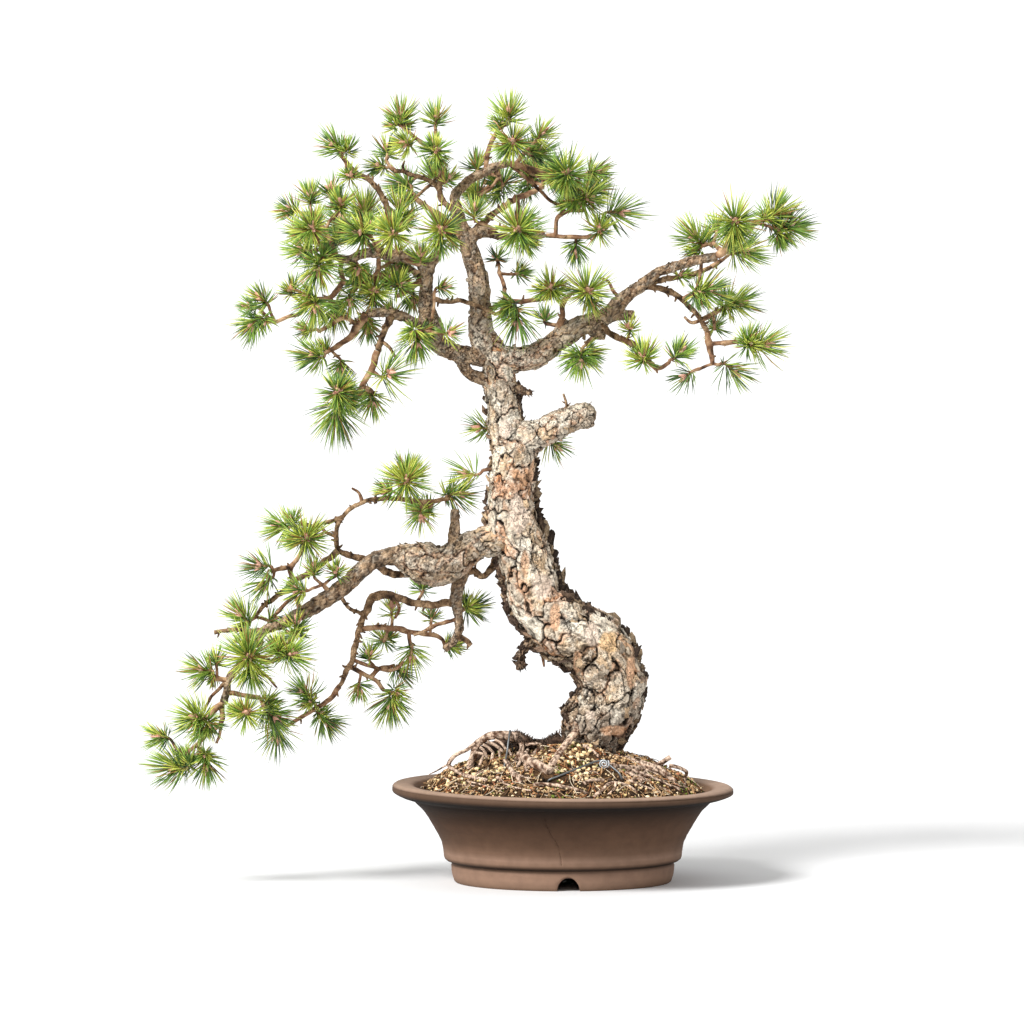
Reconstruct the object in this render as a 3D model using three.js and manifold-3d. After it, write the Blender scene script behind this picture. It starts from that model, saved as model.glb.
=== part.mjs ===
// Scots pine bonsai in an oval clay pot, in millimetres with +Z up and its front towards -Y.
// Places are given from the middle of the pot's foot; at the end the group moves so that its origin
// lies under the middle of the whole object.
import * as THREE from "three";
import { mergeVertices } from "three/addons/utils/BufferGeometryUtils.js";
import Module from "manifold-3d";

const wasm = await Module();
wasm.setup();

// Driving dimensions
const GAP = 0.4; // clearance kept round the wood and between sprays
const POT_OVAL = 0.88; // depth of the pot over its length
const FLOOR_CUT = [5, 20]; // height from and to which the holes in the pot's floor are cut
const POT_SIDES = 24;
const RIM_HALF_LENGTH = 171;
const RIM_TOP = 97.4;
const FOOT_HALF_LENGTH = 108;
const FLOOR_UNDERSIDE = 12.5;
const FLOOR_TOP = 17;
const DRAIN_HOLE = { radius: 12, sides: 12, x: 50 };
const WIRE_HOLE = { radius: 2.6, sides: 6 };
const NOTCH = { x: 5, width: 22.5, height: 13, inner: 93, outer: 114 }; // drain notch through the foot
const SOIL_HALF_LENGTH = 143.5;
const SOIL_EDGE = 90;
const SOIL_RISE = 44.5; // height of the mound's middle over its edge
const SOIL_SHAPE = 2.3; // higher is flatter in the middle and steeper at the edge
const SOIL_ROWS = [0, 0.3, 0.55, 0.78, 1]; // rings of the mound as shares of its half length
const SOIL_LUMP = 1.6;
const WIRE_RADIUS = 1.2;
const MESH_SIZE = 40;
const MESH_THICKNESS = 1.4;
const MESH_PITCH = 12;
const MESH_OPENING = 10;
const BARK_RELIEF = 0.13; // height of the bark plates as a share of the radius
const BARK_RING_SPACING = 19;
const PLATES_A_ROW = 40; // more than the sides of any tube, so that each plate has a number of its own
const NEEDLE_RADIUS = 0.95;
const SHOOT_RADIUS = 1.75;
const BAND_LENGTH = 5; // stretch of a shoot that holds one round of needles
const BUD_LENGTH = 6;
const SMALL_TUFT = 17; // needle reach up to which a shoot has three sides
const MIDDLE_TUFT = 24; // needle reach over which a shoot has two bands of needles
const LARGE_TUFT = 31; // needle reach over which a shoot has five sides
const FOOT_TILT = 92; // degrees between a shoot and the needles at its foot
const BUD_TILT = 32; // degrees between a shoot and the needles at its bud
const NEEDLE_TRIES = 8; // tries to find a free place for a needle, each one looser than the last
const NEEDLE_SWAY = 3; // degrees by which a needle may lean on the first try
const NEEDLE_LENGTHS = [0.88, 1.12]; // shortest and longest needle as shares of the reach

// Limbs as seen from the front: each point is [x, z, radius], and a fourth number is its depth y.
// Between given depths a limb runs evenly, and its first point lies on the limb that it grows from.
const LIMBS = {
  trunk: {
    bark: true,
    path: [
      [30, 84, 20, 0], [30, 104, 27], [30, 126, 34], [30, 152, 31], [45, 181, 31], [49, 205, 31],
      [34, 233, 31], [1, 253, 30], [-23, 277, 28], [-34, 311, 27], [-41, 336, 26], [-50, 361, 25],
      [-51, 410, 22], [-50, 435, 20], [-57, 457, 17], [-60, 480, 16], [-63, 502, 16],
      [-66, 532, 15, 0],
    ],
  },
  leader: {
    from: "trunk",
    path: [
      [-66, 526, 13], [-79, 544, 13], [-83, 560, 11], [-83, 577, 9.5], [-86, 610, 9.5],
      [-95, 640, 8.3], [-96, 650, 7, 0],
    ],
  },
  dead_stub: {
    from: "trunk",
    path: [
      [-50, 446, 17], [-24, 449, 15], [-7, 458, 14], [15, 467, 12], [31, 467, 8.5, -10],
    ],
  },
  dead_twig: {
    from: "dead_stub",
    path: [
      [2, 464, 3], [2, 490, 2, -10],
    ],
  },
  broken_stub: {
    from: "trunk",
    path: [
      [-58, 494, 5], [-47, 495, 4], [-33, 490, 2, -6],
    ],
  },
  low_snag: {
    from: "trunk",
    path: [
      [-12, 250, 6], [-32, 243, 4], [-48, 225, 2.4, -6],
    ],
  },
  low_spur: {
    from: "trunk",
    path: [
      [34, 190, 6], [12, 184, 4], [-1, 171, 1.5, -8],
    ],
  },
  left_trunk: {
    from: "trunk",
    path: [
      [-66, 526, 9], [-90, 527, 9], [-117, 534, 8.5, -10], [-128, 544, 9.5], [-130, 557, 10],
      [-137, 585, 7, -22], [-135, 613, 6.5], [-132, 621, 6], [-125, 630, 4.5, -28],
    ],
  },
  strut: {
    from: "trunk",
    path: [
      [-63, 502, 7], [-83, 505, 6], [-94, 510, 5.5], [-105, 528, 6, -6],
    ],
  },
  crown_left: {
    from: "left_trunk",
    path: [
      [-136, 614, 6], [-145, 624, 6], [-170, 629, 5.7], [-193, 632, 5], [-201, 630, 4.5, -38],
      [-211, 626, 4], [-224, 627, 3.5], [-234, 632, 3, -42],
    ],
  },
  crown_rise: {
    from: "crown_left",
    path: [
      [-172, 629, 4.5], [-174, 655, 4, -14], [-178, 682, 3.8], [-188, 697, 3.6], [-208, 711, 3.2],
      [-216, 720, 2.8, 6],
    ],
  },
  crown_drop: {
    from: "crown_left",
    path: [
      [-221, 627, 3.2], [-221, 614, 3.2], [-218, 604, 3, -40],
    ],
  },
  low_left: {
    from: "left_trunk",
    path: [
      [-131, 556, 5], [-149, 562, 5], [-170, 571, 5], [-196, 571, 4.6, -30],
    ],
  },
  hanging_left: {
    from: "low_left",
    path: [
      [-171, 571, 4.5], [-180, 549, 4.3], [-185, 534, 4, -34],
    ],
  },
  crossing: {
    from: "left_trunk",
    path: [
      [-137, 585, 3.5], [-113, 583, 3], [-98, 583, 3], [-83, 577, 3, -24], [-67, 570, 2.6, -22],
    ],
  },
  top_right: {
    from: "leader",
    path: [
      [-96, 646, 6], [-103, 662, 6], [-108, 684, 5], [-103, 694, 5], [-92, 704, 4.6], [-67, 717, 4],
      [-55, 720, 3.8, -4],
    ],
  },
  top_left: {
    from: "top_right",
    path: [
      [-105, 668, 4.5], [-122, 686, 4], [-123, 713, 3], [-125, 722, 2.6, 6],
    ],
  },
  top_left_side: {
    from: "top_left",
    path: [
      [-122, 692, 3.2], [-133, 702, 3], [-158, 710, 2.8], [-168, 712, 2.5, 18],
    ],
  },
  mid_right: {
    from: "leader",
    path: [
      [-95, 640, 6], [-87, 650, 6], [-74, 650, 5], [-63, 647, 4], [-40, 646, 3.2], [-17, 648, 2.8, -4],
    ],
  },
  back_left: {
    from: "leader",
    path: [
      [-91, 628, 6], [-101, 645, 5, 28], [-122, 665, 4, 52],
    ],
  },
  back_right: {
    from: "leader",
    path: [
      [-95, 644, 5], [-78, 662, 4.5, 24], [-52, 680, 4, 44],
    ],
  },
  back_low: {
    from: "left_trunk",
    path: [
      [-136, 600, 5], [-150, 612, 4.5, 8], [-178, 630, 4, 34],
    ],
  },
  right_limb: {
    from: "trunk",
    path: [
      [-66, 524, 13], [-45, 524, 12.5], [-29, 527, 12], [-16, 535, 12], [11, 554, 10.5],
      [37, 565, 9.5, -8], [49, 572, 8.5], [57, 582, 7], [77, 598, 6, -14], [96, 612, 5], [125, 622, 5],
      [153, 628, 4.5, -24],
    ],
  },
  cut_stub: {
    from: "right_limb",
    path: [
      [40, 567, 6], [71, 569, 4.5, -12],
    ],
  },
  under_stub: {
    from: "right_limb",
    path: [
      [28, 560, 7], [33, 550, 6], [42, 548, 4.5, -10],
    ],
  },
  right_middle: {
    from: "right_limb",
    path: [
      [78, 599, 4.2], [96, 603, 4], [125, 608, 3.3], [148, 616, 2.4, 8],
    ],
  },
  right_droop: {
    from: "right_limb",
    path: [
      [74, 594, 4.8], [88, 597, 4.3], [110, 590, 4, -4], [119, 584, 3.8], [137, 564, 3.5],
      [144, 551, 3.5, 8],
    ],
  },
  right_low: {
    from: "right_limb",
    path: [
      [37, 562, 4.5], [43, 553, 4], [56, 546, 4, -14],
    ],
  },
  cascade_knob: {
    from: "trunk",
    bark: true,
    path: [
      [-46, 342, 16], [-85, 340, 15], [-100, 331, 16, -4], [-114, 320, 18], [-127, 317, 18],
      [-139, 323, 17], [-168, 330, 9.5, -14],
    ],
  },
  cascade: {
    from: "cascade_knob",
    path: [
      [-162, 329, 10], [-183, 326, 8], [-199, 316, 8], [-223, 295, 8.3, -28], [-249, 278, 7.5],
      [-267, 269, 6], [-282, 261, 4.8], [-298, 255, 4.5], [-306, 244, 4, -44], [-322, 222, 3.6],
      [-334, 206, 4], [-339, 183, 4, -50],
    ],
  },
  cascade_stub: {
    from: "cascade",
    path: [
      [-299, 255, 3.6], [-320, 256, 3], [-348, 253, 2.8, -40],
    ],
  },
  upright_stub: {
    from: "cascade_knob",
    path: [
      [-110, 330, 8], [-108, 358, 5], [-108, 374, 4, -8],
    ],
  },
  arch: {
    from: "cascade",
    path: [
      [-190, 322, 5], [-213, 329, 4], [-224, 334, 3.6], [-226, 347, 3.3], [-225, 359, 3.2],
      [-219, 368, 3.1, -6], [-210, 376, 3.1], [-196, 382, 3.1], [-164, 384, 3.5], [-150, 382, 3.2, 8],
    ],
  },
  arch_left: {
    from: "arch",
    path: [
      [-221, 366, 3], [-247, 356, 2.2, -6],
    ],
  },
  parallel: {
    from: "arch",
    path: [
      [-225, 334, 3.6], [-241, 319, 3.8], [-261, 305, 4], [-270, 301, 4, 14], [-286, 286, 3.6],
      [-301, 275, 3], [-308, 265, 2.6, 12],
    ],
  },
  hanging: {
    from: "cascade_knob",
    path: [
      [-102, 330, 9], [-102, 306, 7], [-106, 294, 6.3, 6], [-107, 284, 6.3], [-104, 252, 4.5],
      [-107, 244, 4.2], [-119, 232, 3.6, 16],
    ],
  },
  hanging_fork: {
    from: "hanging",
    path: [
      [-106, 246, 4], [-92, 236, 3.2, 14],
    ],
  },
  hanging_side: {
    from: "hanging",
    path: [
      [-103, 308, 4], [-89, 310, 3.6], [-80, 304, 3.4], [-73, 312, 3, 18],
    ],
  },
  under_run: {
    from: "hanging",
    path: [
      [-107, 281, 4], [-130, 277, 3.6], [-146, 278, 3.6], [-165, 283, 4], [-181, 286, 4.5, 26],
      [-191, 283, 5], [-202, 262, 4.3], [-205, 249, 4, 24], [-211, 221, 3.8], [-224, 195, 3, 14],
    ],
  },
  link: {
    from: "cascade",
    path: [
      [-223, 290, 3], [-214, 275, 2.6], [-200, 267, 2.6, 18],
    ],
  },
  back_branch: {
    from: "cascade",
    path: [
      [-190, 321, 5], [-176, 312, 4.5], [-159, 308, 3.8, 4],
    ],
  },
};

// Exposed and buried roots: [x, y, z, radius] from the root's base under the trunk.
const ROOTS = [
  [[2, -6, 126, 9], [-13, -12, 139, 6.5], [-38, -22, 145, 6], [-57, -28, 151, 6], [-76, -30, 150, 6],
    [-86, -31, 143, 5], [-93, -32, 124, 4.5], [-100, -34, 96, 3]],
  [[-60, -28, 148, 4], [-68, -38, 134, 3.6], [-80, -48, 122, 3]],
  [[-52, -24, 146, 4], [-50, -44, 134, 3.4], [-44, -60, 122, 2.8]],
  [[8, -14, 122, 8], [-6, -44, 121, 5.5], [-26, -62, 122, 4.5], [-46, -78, 112, 3]],
  [[12, -22, 132, 6], [-2, -38, 131, 4.5], [-12, -52, 123, 3.5]],
  [[52, -18, 122, 7], [76, -34, 121, 4], [96, -44, 116, 3.5], [112, -48, 104, 2.5]],
  [[40, -20, 118, 6], [60, -56, 116, 4], [80, -78, 107, 3]],
  [[20, -26, 116, 7], [22, -70, 113, 4], [8, -92, 108, 3.2], [-16, -94, 106, 2.6]],
  [[14, 20, 118, 9], [-20, 48, 104, 6], [-48, 62, 74, 3.5]],
  [[6, 0, 108, 9], [-46, 4, 88, 6], [-88, 6, 62, 4]],
];

// Tie wires: the run [x, y, z] over the mound, between the two holes [x, y] in the pot's floor
const WIRES = {
  tie_wire_front: [
    [-6, -52], [-6, -76, 123], [6, -70, 125.5], [22, -60, 128.5], [34, -54, 131], [42, -50, 130],
    [45, -54, 127], [42, -58, 124], [48, -68, 121], [52, -80, 114], [50, -60],
  ],
  tie_wire_root: [
    [-58, -60], [-57, -56, 128], [-56, -42, 146], [-55, -34, 160], [-53, -26, 161], [-50, -17, 154],
    [-48, -14, 132], [-44, -28],
  ],
};

// Sprays: the limb that the first twig grows from, the twigs as points [x, z, radius, y], and the tufts.
// A later twig grows from the first. A tuft is [x, z, y, reach, facing]: its middle, how far its needles
// reach, and where its shoot points.
const SPRAYS = {
  crown: [
    {
      from: "top_right",
      twigs: [
        [[-78, 711, 2.6], [-73, 737, 2.3, -4], [-64, 755, 2, -8]],
      ],
      tufts: [[-54, 772, -10, 25, "up"], [-50, 743, -42, 27, "front"]],
    },
    {
      from: "top_right",
      twigs: [
        [[-55, 720, 3.4], [-20, 711, 2.8], [-5, 703, 2.5], [12, 699, 2.2, -12]],
        [[-48, 718, 2.4], [-38, 730, 2.2, 6]],
      ],
      tufts: [
        [4, 712, -54, 32, "front"], [35, 712, -14, 20, "right"], [-20, 750, -4, 20, "upRight"],
        [-22, 729, 34, 24, "backRight"],
      ],
    },
    {
      from: "top_right",
      twigs: [
        [[-68, 716, 2.6], [-64, 706, 2.3, 28]],
      ],
      tufts: [[-60, 700, 62, 28, "back"], [-86, 718, 38, 16, "backUp"]],
    },
    {
      from: "mid_right",
      twigs: [
        [[-74, 650, 2.6], [-68, 655, 2.3, -24], [-58, 657, 2.1, -42]],
      ],
      tufts: [[-45, 657, -78, 35, "front"], [-88, 674, -28, 20, "up"]],
    },
    {
      from: "left_trunk",
      twigs: [],
      tufts: [[-121, 657, -76, 32, "front"]],
    },
    {
      from: "crown_left",
      twigs: [
        [[-184, 631, 2.6], [-184, 643, 2.3, -52]],
      ],
      tufts: [[-168, 653, -78, 30, "front"], [-205, 655, -52, 22, "frontUp"]],
    },
    {
      from: "crown_left",
      twigs: [
        [[-234, 632, 2.6], [-243, 641, 2.3, -46]],
      ],
      tufts: [
        [-249, 658, -64, 27, "front"], [-262, 634, -30, 22, "left"], [-243, 614, -62, 28, "frontDown"],
      ],
    },
    {
      from: "crown_left",
      twigs: [
        [[-224, 628, 2.6], [-238, 654, 2.3, -4], [-250, 670, 2.1, 12]],
      ],
      tufts: [[-252, 688, 18, 20, "up"], [-275, 672, 20, 20, "left"], [-222, 681, -24, 22, "frontUp"]],
    },
    {
      from: "crown_rise",
      twigs: [
        [[-216, 720, 2.6], [-222, 729, 2.3, 8]],
      ],
      tufts: [[-229, 739, 10, 25, "upLeft"], [-212, 708, -28, 17, "front"]],
    },
    {
      from: "top_left_side",
      twigs: [
        [[-168, 712, 2.6], [-174, 717, 2.3, 22]],
      ],
      tufts: [[-186, 716, 20, 17, "left"], [-176, 733, 32, 20, "backUp"]],
    },
    {
      from: "top_left",
      twigs: [
        [[-125, 722, 2.6], [-126, 740, 2.3, 8], [-127, 752, 2.1, 10]],
        [[-126, 733, 2.3], [-139, 739, 2.2, 4], [-153, 750, 2, 4]],
      ],
      tufts: [
        [-127, 767, 10, 21, "up"], [-126, 734, -32, 22, "front"], [-162, 769, 8, 22, "up"],
        [-158, 740, -22, 20, "frontLeft"],
      ],
    },
    {
      from: "back_right",
      twigs: [
        [[-52, 680, 3.4], [-28, 690, 2.8, 62], [-20, 694, 2.3, 68]],
      ],
      tufts: [
        [-8, 706, 84, 27, "backRight"], [-34, 706, 98, 24, "back"], [-40, 660, 74, 22, "backRight"],
      ],
    },
    {
      from: "back_left",
      twigs: [
        [[-122, 665, 3.4], [-145, 680, 2.8, 72], [-152, 686, 2.3, 78]],
      ],
      tufts: [
        [-162, 697, 92, 27, "backLeft"], [-130, 708, 88, 24, "backUp"], [-114, 650, 88, 24, "back"],
      ],
    },
    {
      from: "back_low",
      twigs: [
        [[-178, 630, 3.4], [-200, 640, 2.8, 50], [-208, 645, 2.3, 56]],
      ],
      tufts: [
        [-224, 656, 66, 26, "backLeft"], [-196, 668, 78, 22, "backUp"], [-168, 606, 68, 22, "back"],
      ],
    },
    {
      from: "crown_drop",
      twigs: [
        [[-218, 604, 2.8], [-232, 587, 2.6], [-251, 585, 2.5], [-264, 571, 2.3], [-288, 562, 2, -28]],
      ],
      tufts: [
        [-311, 559, -30, 25, "downLeft"], [-301, 587, -28, 20, "upLeft"], [-313, 577, -10, 15, "left"],
        [-253, 570, -58, 29, "frontDown"], [-228, 568, -10, 24, "down"],
      ],
    },
    {
      from: "crown_left",
      twigs: [
        [[-183, 629, 2.6], [-185, 612, 2.3, -30]],
      ],
      tufts: [[-190, 592, -28, 21, "down"]],
    },
    {
      from: "low_left",
      twigs: [
        [[-196, 571, 4], [-211, 548, 3.3], [-238, 531, 2.1, -24]],
        [[-203, 560, 2.6], [-220, 566, 2.5], [-243, 552, 2, -14]],
      ],
      tufts: [[-251, 529, -24, 26, "left"], [-222, 514, -10, 18, "down"], [-258, 554, -6, 15, "left"]],
    },
    {
      from: "hanging_left",
      twigs: [
        [[-185, 534, 3.8], [-191, 515, 3.4], [-209, 482, 2.2, -40]],
      ],
      tufts: [
        [-226, 468, -38, 35, "down"], [-224, 496, -66, 27, "front"], [-190, 480, -16, 22, "down"],
        [-172, 512, -50, 32, "frontRight"],
      ],
    },
    {
      from: "left_trunk",
      twigs: [
        [[-131, 560, 2.6], [-134, 553, 2.3, -36]],
      ],
      tufts: [[-146, 540, -36, 25, "down"], [-112, 553, -44, 18, "frontRight"]],
    },
    {
      from: "mid_right",
      twigs: [
        [[-17, 648, 2.6], [23, 646, 2.2], [44, 656, 2, -8]],
        [[-8, 648, 2.3], [-4, 668, 2.2], [20, 672, 2, 4]],
      ],
      tufts: [
        [58, 671, -10, 32, "right"], [36, 655, -38, 23, "front"], [13, 632, -2, 20, "down"],
        [26, 684, -30, 25, "frontRight"], [36, 692, 26, 20, "backRight"],
      ],
    },
    {
      from: "leader",
      twigs: [
        [[-83, 570, 3.2], [-60, 581, 2.6], [-12, 587, 2.2, -8]],
        [[-57, 581, 2.3], [-64, 611, 2.1, 14]],
      ],
      tufts: [[-12, 598, -42, 25, "front"], [-42, 610, 28, 16, "backRight"], [-66, 624, 40, 16, "back"]],
    },
    {
      from: "crossing",
      twigs: [],
      tufts: [[-46, 562, -26, 28, "down"]],
    },
  ],
  right_limb: [
    {
      from: "right_limb",
      twigs: [
        [[-2, 545, 3.4], [1, 583, 2.7], [8, 590, 2.4, -12]],
      ],
      tufts: [[24, 595, -50, 33, "front"], [-18, 566, 18, 16, "backUp"]],
    },
    {
      from: "under_stub",
      twigs: [
        [[33, 548, 2.8], [23, 539, 2.5, -12]],
      ],
      tufts: [[18, 522, -28, 26, "frontDown"]],
    },
    {
      from: "right_limb",
      twigs: [
        [[153, 628, 4], [165, 641, 3.4, -28], [177, 655, 2.6], [192, 661, 2.2, -22]],
        [[158, 633, 2.6], [150, 640, 2.3, 4]],
      ],
      tufts: [
        [170, 665, -68, 35, "front"], [214, 674, -24, 27, "upRight"], [229, 657, -20, 27, "right"],
        [130, 647, 18, 27, "upLeft"], [154, 656, 30, 18, "backUp"],
      ],
    },
    {
      from: "right_middle",
      twigs: [
        [[148, 616, 2.6], [160, 623, 2.3, 14]],
      ],
      tufts: [[184, 631, 20, 30, "right"]],
    },
    {
      from: "right_droop",
      twigs: [
        [[119, 584, 2.8], [131, 590, 2.4, -8]],
      ],
      tufts: [[147, 594, -18, 27, "right"]],
    },
    {
      from: "right_droop",
      twigs: [
        [[138, 563, 2.8], [150, 569, 2.4, 12], [162, 575, 2.2, 16]],
      ],
      tufts: [[178, 580, 20, 28, "right"], [152, 556, 38, 20, "back"]],
    },
    {
      from: "right_droop",
      twigs: [
        [[144, 551, 3.2], [150, 519, 2.5, 12]],
        [[147, 539, 2.5], [158, 540, 2.4, 4], [178, 542, 2.2, -2], [190, 540, 2, -4]],
      ],
      tufts: [
        [203, 539, -6, 29, "right"], [171, 510, 14, 27, "downRight"], [122, 505, 12, 20, "downLeft"],
      ],
    },
    {
      from: "right_low",
      twigs: [
        [[56, 546, 3.8], [69, 540, 3.6], [77, 530, 3.2], [96, 516, 2.4], [106, 522, 2, -22]],
      ],
      tufts: [
        [117, 533, -26, 21, "upRight"], [80, 531, -42, 26, "frontUp"], [66, 558, -30, 17, "frontUp"],
      ],
    },
    {
      from: "dead_stub",
      twigs: [
        [[-26, 448, 2.6], [-18, 438, 2.3, 14]],
      ],
      tufts: [[-7, 436, 18, 22, "downRight"]],
    },
    {
      from: "trunk",
      twigs: [],
      tufts: [[-84, 455, 12, 19, "left"]],
    },
    {
      from: "trunk",
      twigs: [
        [[-54, 416, 2], [-80, 413, 1.8, -2]],
      ],
      tufts: [[-96, 409, -4, 20, "left"]],
    },
  ],
  cascade: [
    {
      from: "arch",
      twigs: [
        [[-164, 384, 2.6], [-161, 394, 2.3, -8]],
      ],
      tufts: [[-156, 405, -42, 33, "front"], [-178, 394, -22, 16, "left"]],
    },
    {
      from: "arch",
      twigs: [
        [[-150, 382, 2.8], [-114, 383, 2.1, 18]],
      ],
      tufts: [
        [-102, 388, 18, 25, "right"], [-142, 372, 42, 22, "backLeft"], [-142, 366, -12, 22, "frontDown"],
      ],
    },
    {
      from: "arch_left",
      twigs: [
        [[-247, 356, 2.4], [-262, 359, 2.1, 2]],
      ],
      tufts: [[-284, 357, 2, 24, "left"]],
    },
    {
      from: "parallel",
      twigs: [
        [[-270, 301, 2.8], [-273, 315, 2.5], [-262, 331, 2.2, 4]],
        [[-273, 315, 2.3], [-284, 314, 2.1, 2], [-291, 311, 2, -2]],
      ],
      tufts: [[-256, 348, -44, 33, "front"], [-304, 317, -8, 22, "left"], [-301, 297, 6, 25, "downLeft"]],
    },
    {
      from: "cascade",
      twigs: [
        [[-230, 291, 2.6], [-240, 301, 2.3, -38]],
      ],
      tufts: [[-266, 297, -54, 20, "left"], [-226, 316, -46, 17, "frontUp"], [-248, 318, -42, 16, "up"]],
    },
    {
      from: "cascade",
      twigs: [
        [[-304, 248, 2.8], [-300, 244, 2.5, -52]],
      ],
      tufts: [[-312, 234, -90, 38, "front"]],
    },
    {
      from: "cascade",
      twigs: [
        [[-311, 237, 2.8], [-295, 225, 2.5, -46], [-282, 228, 2.3, -44]],
      ],
      tufts: [[-269, 234, -64, 30, "frontRight"], [-266, 264, -44, 22, "up"]],
    },
    {
      from: "parallel",
      twigs: [
        [[-308, 265, 2.4], [-313, 262, 2.2, 8]],
      ],
      tufts: [[-322, 268, 2, 25, "upLeft"], [-290, 262, 26, 16, "backRight"]],
    },
    {
      from: "cascade",
      twigs: [
        [[-334, 206, 2.8], [-347, 208, 2.5, -50]],
      ],
      tufts: [[-361, 216, -46, 25, "left"], [-346, 226, -30, 16, "backUp"]],
    },
    {
      from: "cascade",
      twigs: [
        [[-339, 183, 3.6], [-353, 171, 2.9], [-361, 168, 2.4, -58]],
        [[-341, 181, 2.6], [-339, 168, 2.6], [-380, 129, 2, -56]],
      ],
      tufts: [
        [-366, 173, -86, 31, "frontLeft"], [-403, 150, -54, 20, "left"], [-390, 121, -62, 30, "left"],
        [-356, 112, -48, 27, "down"],
      ],
    },
    {
      from: "cascade",
      twigs: [
        [[-335, 194, 2.8], [-311, 190, 2.5, -44], [-302, 188, 2.3, -42]],
      ],
      tufts: [[-315, 176, -70, 25, "front"], [-287, 168, -44, 28, "downRight"]],
    },
    {
      from: "under_run",
      twigs: [
        [[-224, 195, 2.8], [-233, 183, 2.6], [-276, 156, 2, 0]],
      ],
      tufts: [
        [-286, 145, -4, 25, "down"], [-260, 192, 0, 24, "upLeft"], [-236, 158, 18, 24, "downRight"],
      ],
    },
    {
      from: "under_run",
      twigs: [
        [[-214, 215, 2.6], [-199, 206, 2.4, 26], [-188, 200, 2.3, 28], [-180, 190, 2.1, 30]],
        [[-193, 203, 2.3], [-184, 211, 2.2, 34], [-172, 213, 2, 38]],
      ],
      tufts: [
        [-172, 173, 30, 28, "down"], [-204, 190, 16, 18, "down"], [-162, 205, 52, 20, "downRight"],
        [-194, 228, 26, 17, "up"],
      ],
    },
    {
      from: "under_run",
      twigs: [
        [[-204, 251, 3.1], [-185, 253, 3], [-121, 240, 2.1, 42]],
      ],
      tufts: [
        [-150, 222, 34, 24, "down"], [-109, 233, 46, 17, "right"], [-132, 264, 52, 15, "backUp"],
        [-180, 240, 60, 22, "back"], [-172, 273, 36, 18, "up"],
      ],
    },
    {
      from: "hanging",
      twigs: [],
      tufts: [[-89, 274, 26, 25, "backRight"]],
    },
    {
      from: "under_run",
      twigs: [],
      tufts: [[-141, 295, 38, 18, "backUp"]],
    },
  ],
};

const FACING = {
  front: [0.05, -1, 0.25],
  frontUp: [0, -0.75, 0.65],
  frontLeft: [-0.6, -0.75, 0.2],
  frontRight: [0.6, -0.75, 0.2],
  frontDown: [0, -0.75, -0.6],
  up: [0, -0.1, 1],
  upLeft: [-0.7, -0.1, 0.7],
  upRight: [0.7, -0.1, 0.7],
  left: [-1, -0.1, 0.12],
  right: [1, -0.1, 0.12],
  down: [0, -0.1, -1],
  downLeft: [-0.75, -0.1, -0.6],
  downRight: [0.75, -0.1, -0.6],
  back: [0, 1, 0.3],
  backUp: [0, 0.7, 0.7],
  backLeft: [-0.7, 0.7, 0.2],
  backRight: [0.7, 0.7, 0.2],
};

// Seeded random numbers from 0 to 1
let randomState = 20240917;
function random() {
  randomState = (randomState + 0x6d2b79f5) | 0;
  let t = Math.imul(randomState ^ (randomState >>> 15), 1 | randomState);
  t = (t + Math.imul(t ^ (t >>> 7), 61 | t)) ^ t;
  return ((t ^ (t >>> 14)) >>> 0) / 4294967296;
}

function between(low, high) {
  return low + (high - low) * random();
}

// Closed geometry to solid, solid to geometry
function toSolid(geometry) {
  const bare = geometry.clone();
  bare.deleteAttribute("normal");
  bare.deleteAttribute("uv");
  const merged = mergeVertices(bare, 1e-4);
  return new wasm.Manifold(
    new wasm.Mesh({
      numProp: 3,
      vertProperties: new Float32Array(merged.attributes.position.array),
      triVerts: new Uint32Array(merged.index.array),
    }),
  );
}

function toGeometry(solid) {
  const mesh = solid.getMesh();
  const geometry = new THREE.BufferGeometry();
  geometry.setAttribute("position", new THREE.BufferAttribute(mesh.vertProperties, 3));
  geometry.setIndex(new THREE.BufferAttribute(mesh.triVerts, 1));
  geometry.computeVertexNormals();
  return geometry;
}

function joined(solids) {
  return wasm.Manifold.union(solids);
}

function largestBody(solid) {
  return solid.decompose().reduce((a, b) => (a.volume() > b.volume() ? a : b));
}

function sidesFor(radius) {
  if (radius > 16) return 12;
  if (radius > 11) return 8;
  if (radius > 6) return 6;
  return radius > 4.1 ? 5 : 4;
}

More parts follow.
